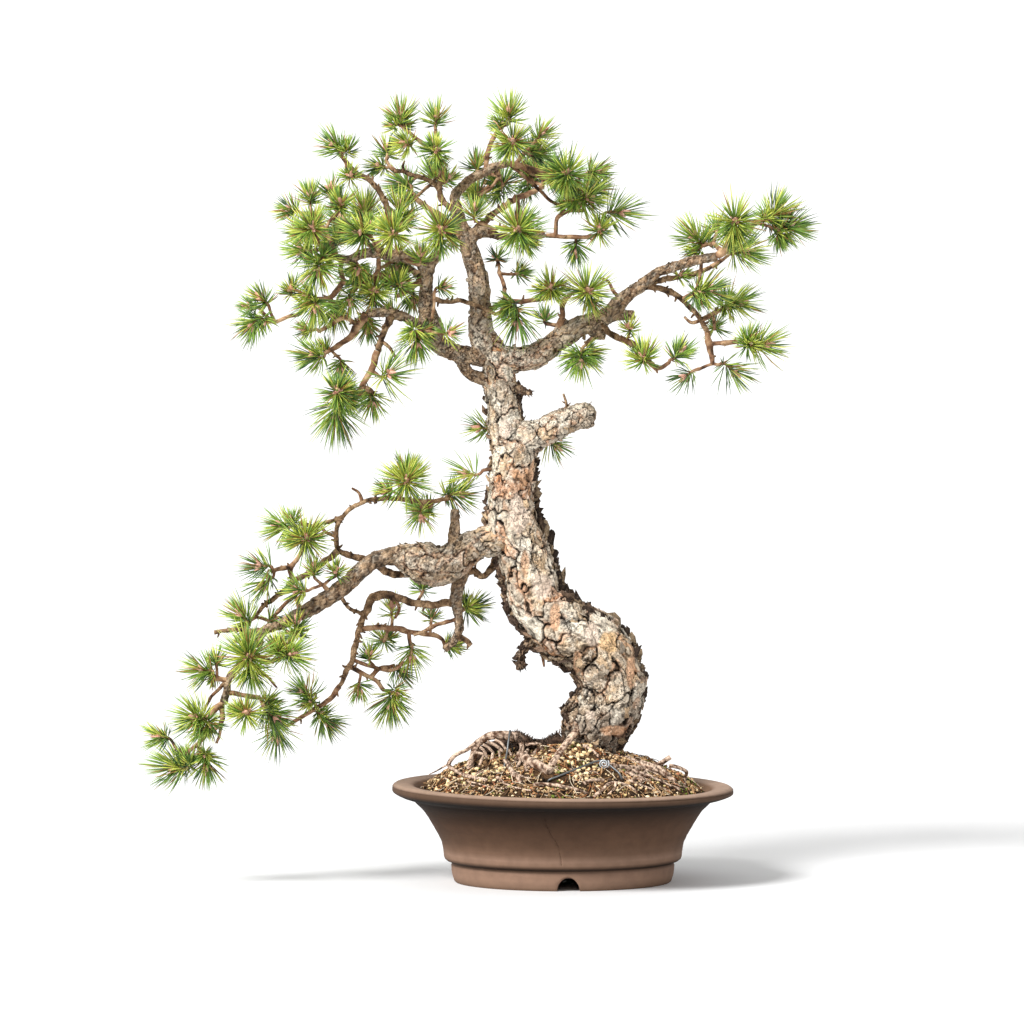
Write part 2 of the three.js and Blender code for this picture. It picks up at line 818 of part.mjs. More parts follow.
// A tapered tube through the points of a skeleton, with flat ends; grow makes it that much larger all over.
function tubeSolid(skeleton, { grow = 0, bark = false } = {}) {
  const sides = sidesFor(skeleton.reduce((sum, s) => sum + s.radius, 0) / skeleton.length);
  const last = skeleton.length - 1;
  const tangent = (i) =>
    skeleton[Math.min(i + 1, last)].point.clone().sub(skeleton[Math.max(i - 1, 0)].point).normalize();
  const positions = [];
  let normal = new THREE.Vector3(0.1, 1, 0.05);
  skeleton.forEach(({ point, radius }, i) => {
    const along = tangent(i);
    normal = normal.clone().addScaledVector(along, -normal.dot(along)).normalize();
    const across = new THREE.Vector3().crossVectors(along, normal);
    const centre = point.clone();
    if (i === 0) centre.addScaledVector(along, -grow);
    if (i === last) centre.addScaledVector(along, grow);
    for (let k = 0; k < sides; k++) {
      const angle = (2 * Math.PI * k) / sides;
      const relief = bark ? 1 + BARK_RELIEF * (plate(i, k) - 0.5) : 1;
      const reach = radius * relief + grow;
      const vertex = centre.clone();
      vertex.addScaledVector(normal, reach * Math.cos(angle));
      vertex.addScaledVector(across, reach * Math.sin(angle));
      positions.push(...vertex.toArray());
    }
  });
  const index = [];
  for (let i = 0; i < last; i++) {
    for (let k = 0; k < sides; k++) {
      const a = i * sides + k;
      const b = i * sides + ((k + 1) % sides);
      index.push(a, b, a + sides, b, b + sides, a + sides);
    }
  }
  for (let k = 1; k < sides - 1; k++) {
    index.push(0, k + 1, k);
    index.push(last * sides, last * sides + k, last * sides + k + 1);
  }
  const geometry = new THREE.BufferGeometry();
  geometry.setAttribute("position", new THREE.Float32BufferAttribute(positions, 3));
  geometry.setIndex(index);
  return toSolid(geometry);
}

// Height of the bark plate at a ring and a side, from 0 to 1: plates are two rings tall and staggered.
function plate(ring, side) {
  const row = Math.floor(ring / 2);
  const column = side + (row % 2);
  return THREE.MathUtils.seededRandom(1 + row * PLATES_A_ROW + column);
}

// Limb skeletons in three dimensions
const skeletons = new Map();

function closestOn(skeleton, distanceTo) {
  let best = null;
  for (let i = 0; i + 1 < skeleton.length; i++) {
    for (let step = 0; step <= 20; step++) {
      const point = skeleton[i].point.clone().lerp(skeleton[i + 1].point, step / 20);
      const distance = distanceTo(point);
      if (!best || distance < best.distance) best = { point, distance };
    }
  }
  return best.point;
}

function rootOn(parent, x, z) {
  return closestOn(skeletons.get(parent), (p) => Math.hypot(p.x - x, p.z - z));
}

function nearestOn(skeleton, target) {
  return closestOn(skeleton, (p) => p.distanceTo(target));
}

// Gives each point of a front-view path its depth, even between the given ones.
function skeletonOf(path, root) {
  const points = path.map(([x, z, radius, y]) => ({ point: new THREE.Vector3(x, y ?? NaN, z), radius }));
  if (root) points[0].point.copy(root);
  const span = (a, b) => Math.hypot(a.point.x - b.point.x, a.point.z - b.point.z);
  let known = 0;
  for (let i = 1; i < points.length; i++) {
    if (Number.isNaN(points[i].point.y)) continue;
    let length = 0;
    for (let k = known; k < i; k++) length += span(points[k], points[k + 1]);
    let run = 0;
    for (let k = known; k < i - 1; k++) {
      run += span(points[k], points[k + 1]);
      const share = run / length;
      points[k + 1].point.y = THREE.MathUtils.lerp(points[known].point.y, points[i].point.y, share);
    }
    known = i;
  }
  return points;
}

// Rounds a skeleton off with a smooth curve and even rings a spacing apart.
function smoothed(skeleton, spacing) {
  const curve = new THREE.CatmullRomCurve3(skeleton.map((s) => s.point), false, "centripetal");
  const rings = Math.round(curve.getLength() / spacing);
  const last = skeleton.length - 1;
  return Array.from({ length: rings + 1 }, (_, i) => {
    const place = curve.getUtoTmapping(i / rings) * last;
    const before = Math.min(Math.floor(place), last - 1);
    const [start, end] = [skeleton[before].radius, skeleton[before + 1].radius];
    return { point: curve.getPointAt(i / rings), radius: THREE.MathUtils.lerp(start, end, place - before) };
  });
}

for (const [name, { from, bark, path }] of Object.entries(LIMBS)) {
  const root = from ? rootOn(from, path[0][0], path[0][1]) : null;
  const skeleton = skeletonOf(path, root);
  skeletons.set(name, bark ? smoothed(skeleton, BARK_RING_SPACING) : skeleton);
}
const rootSkeletons = ROOTS.map((path) =>
  path.map(([x, y, z, radius]) => ({ point: new THREE.Vector3(x, y, z), radius })),
);

function woodSolid(grow) {
  const limbs = [...skeletons].map(([name, s]) => tubeSolid(s, { grow, bark: LIMBS[name].bark }));
  const roots = rootSkeletons.map((s) => tubeSolid(s, { grow }));
  return joined([...limbs, ...roots]);
}

// Pot: a lathe profile made oval, with two notches in the foot, two drain holes and the wire holes
function revolved(profile) {
  const geometry = new THREE.LatheGeometry(profile.map(([r, z]) => new THREE.Vector2(r, z)), POT_SIDES);
  geometry.rotateX(Math.PI / 2);
  geometry.scale(1, POT_OVAL, 1);
  return geometry;
}

function floorHole(radius, sides, x, y) {
  const [bottom, top] = FLOOR_CUT;
  const geometry = new THREE.CylinderGeometry(radius, radius, top - bottom, sides);
  geometry.rotateX(Math.PI / 2);
  geometry.translate(x, y, (top + bottom) / 2);
  return toSolid(geometry);
}

function notchCutter(side) {
  const half = NOTCH.width / 2;
  const arch = new THREE.Shape();
  arch.moveTo(-half, -2);
  arch.lineTo(half, -2);
  arch.absellipse(0, 0, half, NOTCH.height, 0, Math.PI, false);
  const depth = (NOTCH.outer - NOTCH.inner) * POT_OVAL;
  const geometry = new THREE.ExtrudeGeometry(arch, { depth, bevelEnabled: false, curveSegments: 6 });
  geometry.rotateX(Math.PI / 2);
  geometry.translate(NOTCH.x, side * (NOTCH.inner * POT_OVAL) + (side > 0 ? depth : 0), 0);
  return toSolid(geometry);
}

function wireHoles() {
  return Object.values(WIRES).flatMap((run) => [run[0], run.at(-1)]);
}

function makePot() {
  const body = toSolid(
    revolved([
      [0, FLOOR_UNDERSIDE], [94, FLOOR_UNDERSIDE], [98.8, 0], [FOOT_HALF_LENGTH, 0], [111.6, 18],
      [118.2, 23.6], [120.6, 36], [128, 53], [144, 76], [150.2, 82.4], [162, 85.2], [RIM_HALF_LENGTH, 91],
      [167, RIM_TOP], [148.8, 94.6], [133, 75], [112, 38], [98, FLOOR_TOP], [0, FLOOR_TOP],
    ]),
  );
  const cuts = [notchCutter(-1), notchCutter(1)];
  for (const side of [-1, 1]) {
    cuts.push(floorHole(DRAIN_HOLE.radius, DRAIN_HOLE.sides, side * DRAIN_HOLE.x, 0));
  }
  for (const [x, y] of wireHoles()) cuts.push(floorHole(WIRE_HOLE.radius, WIRE_HOLE.sides, x, y));
  return body.subtract(joined(cuts));
}

// Soil: the filled mound, a lathe made oval and lumpy, with plain holes for roots and wires
function soilHeight(share) {
  return SOIL_EDGE + SOIL_RISE * (1 - share ** SOIL_SHAPE);
}

// Long soft waves across the mound, from -2 to 2
function lump(x, y) {
  return Math.sin(x * 0.11 + 1) * Math.cos(y * 0.13) + Math.sin(y * 0.19 + x * 0.05);
}

function makeSoil(cutters) {
  const top = SOIL_ROWS.map((share) => [share * SOIL_HALF_LENGTH, soilHeight(share)]);
  const wall = [[132.5, 75], [111.5, 38], [97.5, FLOOR_TOP + GAP], [0, FLOOR_TOP + GAP]];
  const geometry = revolved([...wall.reverse(), ...top.reverse()]);
  const position = geometry.attributes.position;
  for (let i = 0; i < position.count; i++) {
    const x = position.getX(i);
    const y = position.getY(i);
    const z = position.getZ(i);
    if (z > SOIL_EDGE + 1) position.setZ(i, z + SOIL_LUMP * lump(x, y));
  }
  return largestBody(toSolid(geometry).subtract(joined(cutters)));
}

// Drain mesh: a square of plastic grid that lies over a drain hole
function block(length, height, x, y, z) {
  const geometry = new THREE.BoxGeometry(length, length, height);
  geometry.translate(x, y, z);
  return toSolid(geometry);
}

function makeDrainMesh(side) {
  const middle = side * DRAIN_HOLE.x;
  const height = FLOOR_TOP + GAP + MESH_THICKNESS / 2;
  const openings = [];
  for (const column of [-1, 0, 1]) {
    for (const row of [-1, 0, 1]) {
      const x = middle + column * MESH_PITCH;
      openings.push(block(MESH_OPENING, 2 * MESH_THICKNESS, x, row * MESH_PITCH, height));
    }
  }
  return block(MESH_SIZE, MESH_THICKNESS, middle, 0, height).subtract(joined(openings));
}

function meshCutter(side) {
  const height = FLOOR_TOP + GAP + MESH_THICKNESS / 2;
  return block(MESH_SIZE + 2 * GAP, MESH_THICKNESS + 3 * GAP, side * DRAIN_HOLE.x, 0, height);
}

// Tie wire: up through one hole of the floor, over the mound and down through another
function wireSkeleton(run) {
  const start = run[0];
  const end = run.at(-1);
  const low = FLOOR_UNDERSIDE + 1;
  const floor = FLOOR_TOP + 3;
  const places = [
    [start[0], start[1], low],
    [start[0], start[1], floor],
    ...run.slice(1, -1),
    [end[0], end[1], floor],
    [end[0], end[1], low],
  ];
  return places.map(([x, y, z]) => ({ point: new THREE.Vector3(x, y, z), radius: WIRE_RADIUS }));
}

// Sprays
const segments = []; // the centre lines of all that needles have to keep clear of: { owner, a, b, radius }
const pending = []; // the needles of the shoot that is being made

function addSegments(owner, skeleton) {
  for (let i = 0; i + 1 < skeleton.length; i++) {
    const radius = Math.max(skeleton[i].radius, skeleton[i + 1].radius);
    segments.push({ owner, a: skeleton[i].point, b: skeleton[i + 1].point, radius });
  }
}

function segmentDistance(a, b, c, d) {
  const u = b.clone().sub(a);
  const v = d.clone().sub(c);
  const w = a.clone().sub(c);
  const uu = u.dot(u);
  const vv = v.dot(v);
  const uv = u.dot(v);
  const uw = u.dot(w);
  const vw = v.dot(w);
  const spread = uu * vv - uv * uv;
  let s = spread > 1e-9 ? THREE.MathUtils.clamp((uv * vw - vv * uw) / spread, 0, 1) : 0;
  const t = THREE.MathUtils.clamp((uv * s + vw) / vv, 0, 1);
  s = THREE.MathUtils.clamp((uv * t - uw) / uu, 0, 1);
  return w.addScaledVector(u, s).addScaledVector(v, -t).length();
}

// A needle is free if it keeps clear of other nodes, and of the other shoots of its own spray.
function needleIsFree(owner, root, tip) {
  const outer = root.clone().lerp(tip, 0.3);
  const middle = root.clone().lerp(tip, 0.5);
  const reach = root.distanceTo(tip) / 2;
  return segments.every(({ owner: other, a, b, radius }) => {
    const room = radius + NEEDLE_RADIUS + GAP;
    const half = a.distanceTo(b) / 2;
    const centre = a.clone().lerp(b, 0.5);
    if (centre.distanceTo(middle) > reach + half + room) return true;
    return segmentDistance(other === owner ? outer : root, tip, a, b) > room;
  });
}

// The shoot of a tuft: a slim core that ends in a bud, whose faces are drawn out into needles. The rings of
// the core are turned by half a side from one to the next, so that the faces look out on all sides.
function shootSolid(owner, { start, centre, facing, reach }) {
  const sides = 3 + (reach > SMALL_TUFT) + (reach > LARGE_TUFT);
  const bands = reach > MIDDLE_TUFT ? 2 : 1;
  const rings = [{ point: start }];
  for (let i = 0; i <= bands; i++) {
    rings.push({ point: centre.clone().addScaledVector(facing, (i - bands) * BAND_LENGTH), turned: i });
  }
  const side = new THREE.Vector3(0.31, 0.2, 0.93).cross(facing).normalize();
  const positions = [];
  rings.forEach(({ point, turned = 0 }, i) => {
    const next = rings[Math.min(i + 1, rings.length - 1)].point;
    const before = rings[Math.max(i - 1, 0)].point;
    const along = next.clone().sub(before).normalize();
    const out = side.clone().addScaledVector(along, -side.dot(along)).normalize();
    const across = new THREE.Vector3().crossVectors(along, out);
    for (let k = 0; k < sides; k++) {
      const angle = (2 * Math.PI * (k + turned / 2)) / sides;
      const vertex = point.clone().addScaledVector(out, SHOOT_RADIUS * Math.cos(angle));
      positions.push(vertex.addScaledVector(across, SHOOT_RADIUS * Math.sin(angle)));
    }
  });
  const faces = [];
  const last = rings.length - 1;
  const firstNeedled = last - bands;
  for (let i = 0; i < last; i++) {
    for (let k = 0; k < sides; k++) {
      const a = i * sides + k;
      const b = i * sides + ((k + 1) % sides);
      const bare = i < firstNeedled;
      const share = (i - firstNeedled + 0.25) / bands;
      faces.push({ corners: [a, b, a + sides], bare, share });
      faces.push({ corners: [b, b + sides, a + sides], bare, share: share + 0.5 / bands });
    }
  }
  const bud = positions.push(centre.clone().addScaledVector(facing, BUD_LENGTH)) - 1;
  for (let k = 0; k < sides; k++) {
    const a = last * sides + k;
    const b = last * sides + ((k + 1) % sides);
    faces.push({ corners: [a, b, bud], bare: true });
  }
  for (let k = 1; k < sides - 1; k++) faces.push({ corners: [0, k + 1, k], bare: true });

  const index = [];
  for (const { corners, bare, share } of faces) {
    const foot = corners.map((corner) => positions[corner]);
    const needle = bare ? null : needleTip(owner, foot, { centre, facing, reach, share });
    if (!needle) {
      index.push(...corners);
      continue;
    }
    const tip = positions.push(needle) - 1;
    corners.forEach((corner, i) => index.push(corner, corners[(i + 1) % 3], tip));
  }
  const geometry = new THREE.BufferGeometry();
  const numbers = positions.flatMap((p) => p.toArray());
  geometry.setAttribute("position", new THREE.Float32BufferAttribute(numbers, 3));
  geometry.setIndex(index);
  return toSolid(geometry);
}

// Where the needle on a face ends: it leaves the shoot square at its foot and nearly along it at its bud.
function needleTip(owner, corners, { centre, facing, reach, share }) {
  const root = corners.reduce((sum, c) => sum.add(c), new THREE.Vector3()).divideScalar(3);
  const offset = root.clone().sub(centre);
  const outward = offset.clone().addScaledVector(facing, -offset.dot(facing)).normalize();
  const across = new THREE.Vector3().crossVectors(facing, outward);
  for (let attempt = 0; attempt < NEEDLE_TRIES; attempt++) {
    const sway = NEEDLE_SWAY * (1 + attempt / 2);
    const lean = THREE.MathUtils.lerp(FOOT_TILT, BUD_TILT, share);
    const tilt = THREE.MathUtils.degToRad(lean + between(-sway, sway));
    const turn = THREE.MathUtils.degToRad(between(-sway, sway));
    const direction = facing.clone().multiplyScalar(Math.cos(tilt));
    direction.addScaledVector(outward, Math.sin(tilt) * Math.cos(turn));
    direction.addScaledVector(across, Math.sin(tilt) * Math.sin(turn));
    const ahead = offset.dot(direction);
    const length = Math.sqrt(ahead ** 2 - offset.lengthSq() + reach ** 2) - ahead;
    const tip = root.clone().addScaledVector(direction, length * between(...NEEDLE_LENGTHS));
    if (!needleIsFree(owner, root, tip)) continue;
    pending.push({ owner, a: root, b: tip, radius: NEEDLE_RADIUS });
    return tip;
  }
  return null;
}

// The twigs of a spray, and where each of its shoots starts
function sprayFrame(name, { from, twigs, tufts }) {
  const twigSkeletons = [];
  for (const twig of twigs) {
    const [x, z] = twig[0];
    const root = twigSkeletons.length
      ? closestOn(twigSkeletons[0], (p) => Math.hypot(p.x - x, p.z - z))
      : rootOn(from, x, z);
    twigSkeletons.push(skeletonOf(twig, root));
  }
  const carriers = twigSkeletons.length ? twigSkeletons : [skeletons.get(from)];
  const shoots = tufts.map(([x, z, y, reach, facingName]) => {
    const facing = new THREE.Vector3(...FACING[facingName]).normalize();
    const centre = new THREE.Vector3(x, y, z);
    const base = centre.clone().addScaledVector(facing, -0.5 * reach);
    const starts = carriers.map((carrier) => nearestOn(carrier, base));
    starts.sort((a, b) => a.distanceTo(base) - b.distanceTo(base));
    const shoot = { start: starts[0], centre, facing, reach };
    segments.push({ owner: name, a: shoot.start, b: centre, radius: SHOOT_RADIUS });
    return shoot;
  });
  twigSkeletons.forEach((s) => addSegments(name, s));
  return { name, twigSkeletons, shoots };
}

// Assembly
const potColour = new THREE.MeshStandardMaterial({ color: 0x6e5548, roughness: 0.75, metalness: 0 });
const soilColour = new THREE.MeshStandardMaterial({ color: 0x8a6a45, roughness: 1, metalness: 0 });
const barkColour = new THREE.MeshStandardMaterial({ color: 0xa08a75, roughness: 0.9, metalness: 0 });
const wireColour = new THREE.MeshStandardMaterial({ color: 0x46535a, roughness: 0.45, metalness: 0.7 });
const meshColour = new THREE.MeshStandardMaterial({ color: 0x2c2c2e, roughness: 0.6, metalness: 0 });
const needleColour = new THREE.MeshStandardMaterial({ color: 0x4f7f3a, roughness: 0.6, metalness: 0 });

const bonsai = new THREE.Group();
function addPart(name, solid, material) {
  const mesh = new THREE.Mesh(toGeometry(solid), material);
  mesh.name = name;
  bonsai.add(mesh);
}

const wires = Object.entries(WIRES).map(([name, run]) => ({ name, skeleton: wireSkeleton(run) }));
const grownWood = woodSolid(GAP);
const soilCutters = [grownWood, meshCutter(-1), meshCutter(1)];
soilCutters.push(...wires.map(({ skeleton }) => tubeSolid(skeleton, { grow: GAP })));

addPart("pot", makePot(), potColour);
addPart("soil", makeSoil(soilCutters), soilColour);
addPart("tree_wood", woodSolid(0), barkColour);
wires.forEach(({ name, skeleton }) => addPart(name, tubeSolid(skeleton).subtract(grownWood), wireColour));
addPart("drain_mesh_left", makeDrainMesh(-1), meshColour);
addPart("drain_mesh_right", makeDrainMesh(1), meshColour);

skeletons.forEach((skeleton) => addSegments("wood", skeleton));
const frames = Object.entries(SPRAYS).flatMap(([region, list]) =>
  list.map((spray, i) => sprayFrame(`needle_spray_${region}_${String(i + 1).padStart(2, "0")}`, spray)),
);
for (const { name, twigSkeletons, shoots } of frames) {
  const solids = twigSkeletons.map((s) => tubeSolid(s));
  for (const shoot of shoots) {
    solids.push(shootSolid(name, shoot));
    segments.push(...pending.splice(0));
  }
  addPart(name, largestBody(joined(solids).subtract(grownWood)), needleColour);
}

const box = new THREE.Box3().setFromObject(bonsai);
bonsai.position.set(-(box.min.x + box.max.x) / 2, -(box.min.y + box.max.y) / 2, -box.min.z);

export default bonsai;
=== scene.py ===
import math

import bpy
import numpy as np
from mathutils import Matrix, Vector
from mathutils.kdtree import KDTree


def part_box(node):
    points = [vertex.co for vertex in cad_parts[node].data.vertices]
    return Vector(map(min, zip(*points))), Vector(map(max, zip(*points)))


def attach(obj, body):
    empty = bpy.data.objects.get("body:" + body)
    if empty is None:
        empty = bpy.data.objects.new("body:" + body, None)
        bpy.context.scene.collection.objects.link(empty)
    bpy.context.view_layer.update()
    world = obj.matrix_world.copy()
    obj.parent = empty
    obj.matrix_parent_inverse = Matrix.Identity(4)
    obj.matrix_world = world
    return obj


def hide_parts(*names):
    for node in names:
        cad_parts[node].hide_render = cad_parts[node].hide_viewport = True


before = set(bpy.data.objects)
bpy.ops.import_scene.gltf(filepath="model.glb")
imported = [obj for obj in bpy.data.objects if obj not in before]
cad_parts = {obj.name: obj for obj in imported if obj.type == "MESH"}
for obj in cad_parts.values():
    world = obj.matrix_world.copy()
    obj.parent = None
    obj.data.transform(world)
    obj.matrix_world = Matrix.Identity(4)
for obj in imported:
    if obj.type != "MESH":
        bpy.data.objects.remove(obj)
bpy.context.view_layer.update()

rng = np.random.default_rng(1871)

MM = 0.001
POT_LOW, POT_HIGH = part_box("pot")
POT_MIDDLE = np.array([(POT_LOW[0] + POT_HIGH[0]) / 2, (POT_LOW[1] + POT_HIGH[1]) / 2, 0.0])

# Pot and soil
POT_OVAL = 0.88
POT_SIDES = 160
FLOOR_TOP = 17
DRAIN_HOLE = {"radius": 12, "x": 50}
NOTCH = {"x": 5, "width": 22.5, "height": 13.6, "bevel": 1.8}
SOIL_HALF_LENGTH = 143.5
SOIL_EDGE = 90
SOIL_RISE = 44.5
SOIL_SHAPE = 2.3
SOIL_LUMP = 1.6
SOIL_CLEARANCE = 0.4
HEAP = {"x": 14, "y": -26, "rise": 6, "spread": 24}
VIEW_RISE = 0.108
WIRE_RADIUS = 1.0
WIRE_HOLE_RADIUS = 2.6
WIRE_LOW = 13.5

# Wood
BARK_VOXELS = {"trunk_bark": 1.2, "bough_bark": 1.5}
THICK_LIMBS = {
    "trunk_bark": ["trunk", "dead_stub", "broken_stub", "low_snag", "low_spur", "strut"],
    "bough_bark": [
        "leader", "left_trunk", "right_limb", "cut_stub", "under_stub", "cascade_knob", "cascade",
        "upright_stub", "top_right", "mid_right", "crown_left", "low_left", "hanging",
    ],
}
# How many flakes lie on a limb, and how many shreds stand on a broken stub
FLAKES = {
    "trunk": 170, "cascade_knob": 70, "dead_stub": 50, "leader": 30, "right_limb": 40, "left_trunk": 20,
}
RAGGED = {"low_snag": 90, "low_spur": 50, "broken_stub": 24}
# Ragged shards along the trunk's outlines: lowest and highest z, side, how many, largest size
SHARDS = [
    (112, 136, 1, 60, 5.5), (120, 146, -1, 40, 4.5), (135, 177, 1, 70, 4.5), (180, 215, 1, 40, 3.5),
    (215, 300, 1, 150, 5.5), (300, 330, 1, 30, 3.5), (330, 430, 1, 90, 5), (195, 230, -1, 60, 4.5),
    (240, 330, -1, 120, 5), (330, 370, -1, 40, 4), (370, 500, -1, 50, 3), (430, 500, 1, 24, 3),
    (140, 175, -1, 40, 4),
]

# Needle tufts
PAIRS_PER_REACH = 2.0  # pairs of needles for each millimetre of a tuft's reach
NEEDLE_WIDTH = 1.4
SHOOT_RADIUS = 1.75
BROWN_SHARE = 0.07
GOLDEN_TURN = 2.39996  # the turn between one pair of needles and the next, in radians
# How far needles lean out from the shoot, in degrees, at its foot and at its bud
FOOT_TILT = 94
BUD_TILT = 23


def srgb(red, green, blue):
    """A colour given as on a screen, from 0 to 255, as linear numbers."""
    share = np.array([red, green, blue]) / 255
    return np.where(share <= 0.04045, share / 12.92, ((share + 0.055) / 1.055) ** 2.4)


PLATE_GREY = srgb(212, 194, 172)
PLATE_TAN = srgb(222, 192, 156)
PLATE_PALE = srgb(255, 244, 224)
PLATE_ORANGE = srgb(228, 162, 116)
PLATE_DARK = srgb(100, 84, 72)
PLATE_SHARES = [0.42, 0.72, 0.93]
PLATE_COLOURS = np.array([PLATE_GREY, PLATE_TAN, PLATE_PALE, PLATE_ORANGE])
# Dark old bark, and the painted shade in bark cracks
DARK_BARK_AND_CRACK_SHADE = srgb(30, 21, 16)
SHARD_DARK = srgb(104, 86, 74)
SHARD_BROWN = srgb(158, 130, 108)
SCAR_TAN = srgb(228, 188, 138)
FLAKE_COLOURS = [PLATE_GREY, PLATE_TAN, PLATE_GREY]
SHARD_COLOURS = [SHARD_DARK, SHARD_DARK, SHARD_BROWN, PLATE_TAN]
BARE_PINK = srgb(236, 214, 194)
BARE_SALMON = srgb(236, 188, 150)
BRANCH_BROWN = srgb(136, 107, 80)
BRANCH_TAN = srgb(200, 166, 130)
BRANCH_DARK = srgb(54, 40, 31)
ROOT_PALE = srgb(228, 200, 176)
ROOT_BROWN = srgb(98, 68, 50)
FOOT_BROWN = srgb(124, 98, 82)
NEEDLE_GREEN = srgb(126, 164, 64)
NEEDLE_YELLOW = srgb(208, 214, 96)
NEEDLE_DARK = srgb(66, 96, 50)
NEEDLE_BROWN = srgb(166, 124, 70)
SHOOT_BROWN = srgb(140, 102, 76)
BUD_PINK = srgb(226, 168, 146)

# Places on the front of the trunk where flakes have come off: x, z, half width, half height, colour
BARE_PLACES = [
    (46, 243, 10, 11, SCAR_TAN), (29, 250, 7, 12, BARE_PINK), (-45, 371, 9, 20, BARE_PINK),
    (-22, 298, 10, 13, BARE_PINK), (-8, 268, 5, 14, BARE_SALMON), (68, 212, 5, 16, BARE_SALMON),
    (-58, 455, 7, 9, BARE_PINK), (26, 170, 5, 4, BARE_PINK), (-38, 322, 4, 13, BARE_SALMON),
    (50, 154, 13, 5, BARE_SALMON), (14, 222, 4, 12, BARE_SALMON), (-30, 412, 4, 12, BARE_SALMON),
    (13, 203, 5, 6, PLATE_DARK),
]

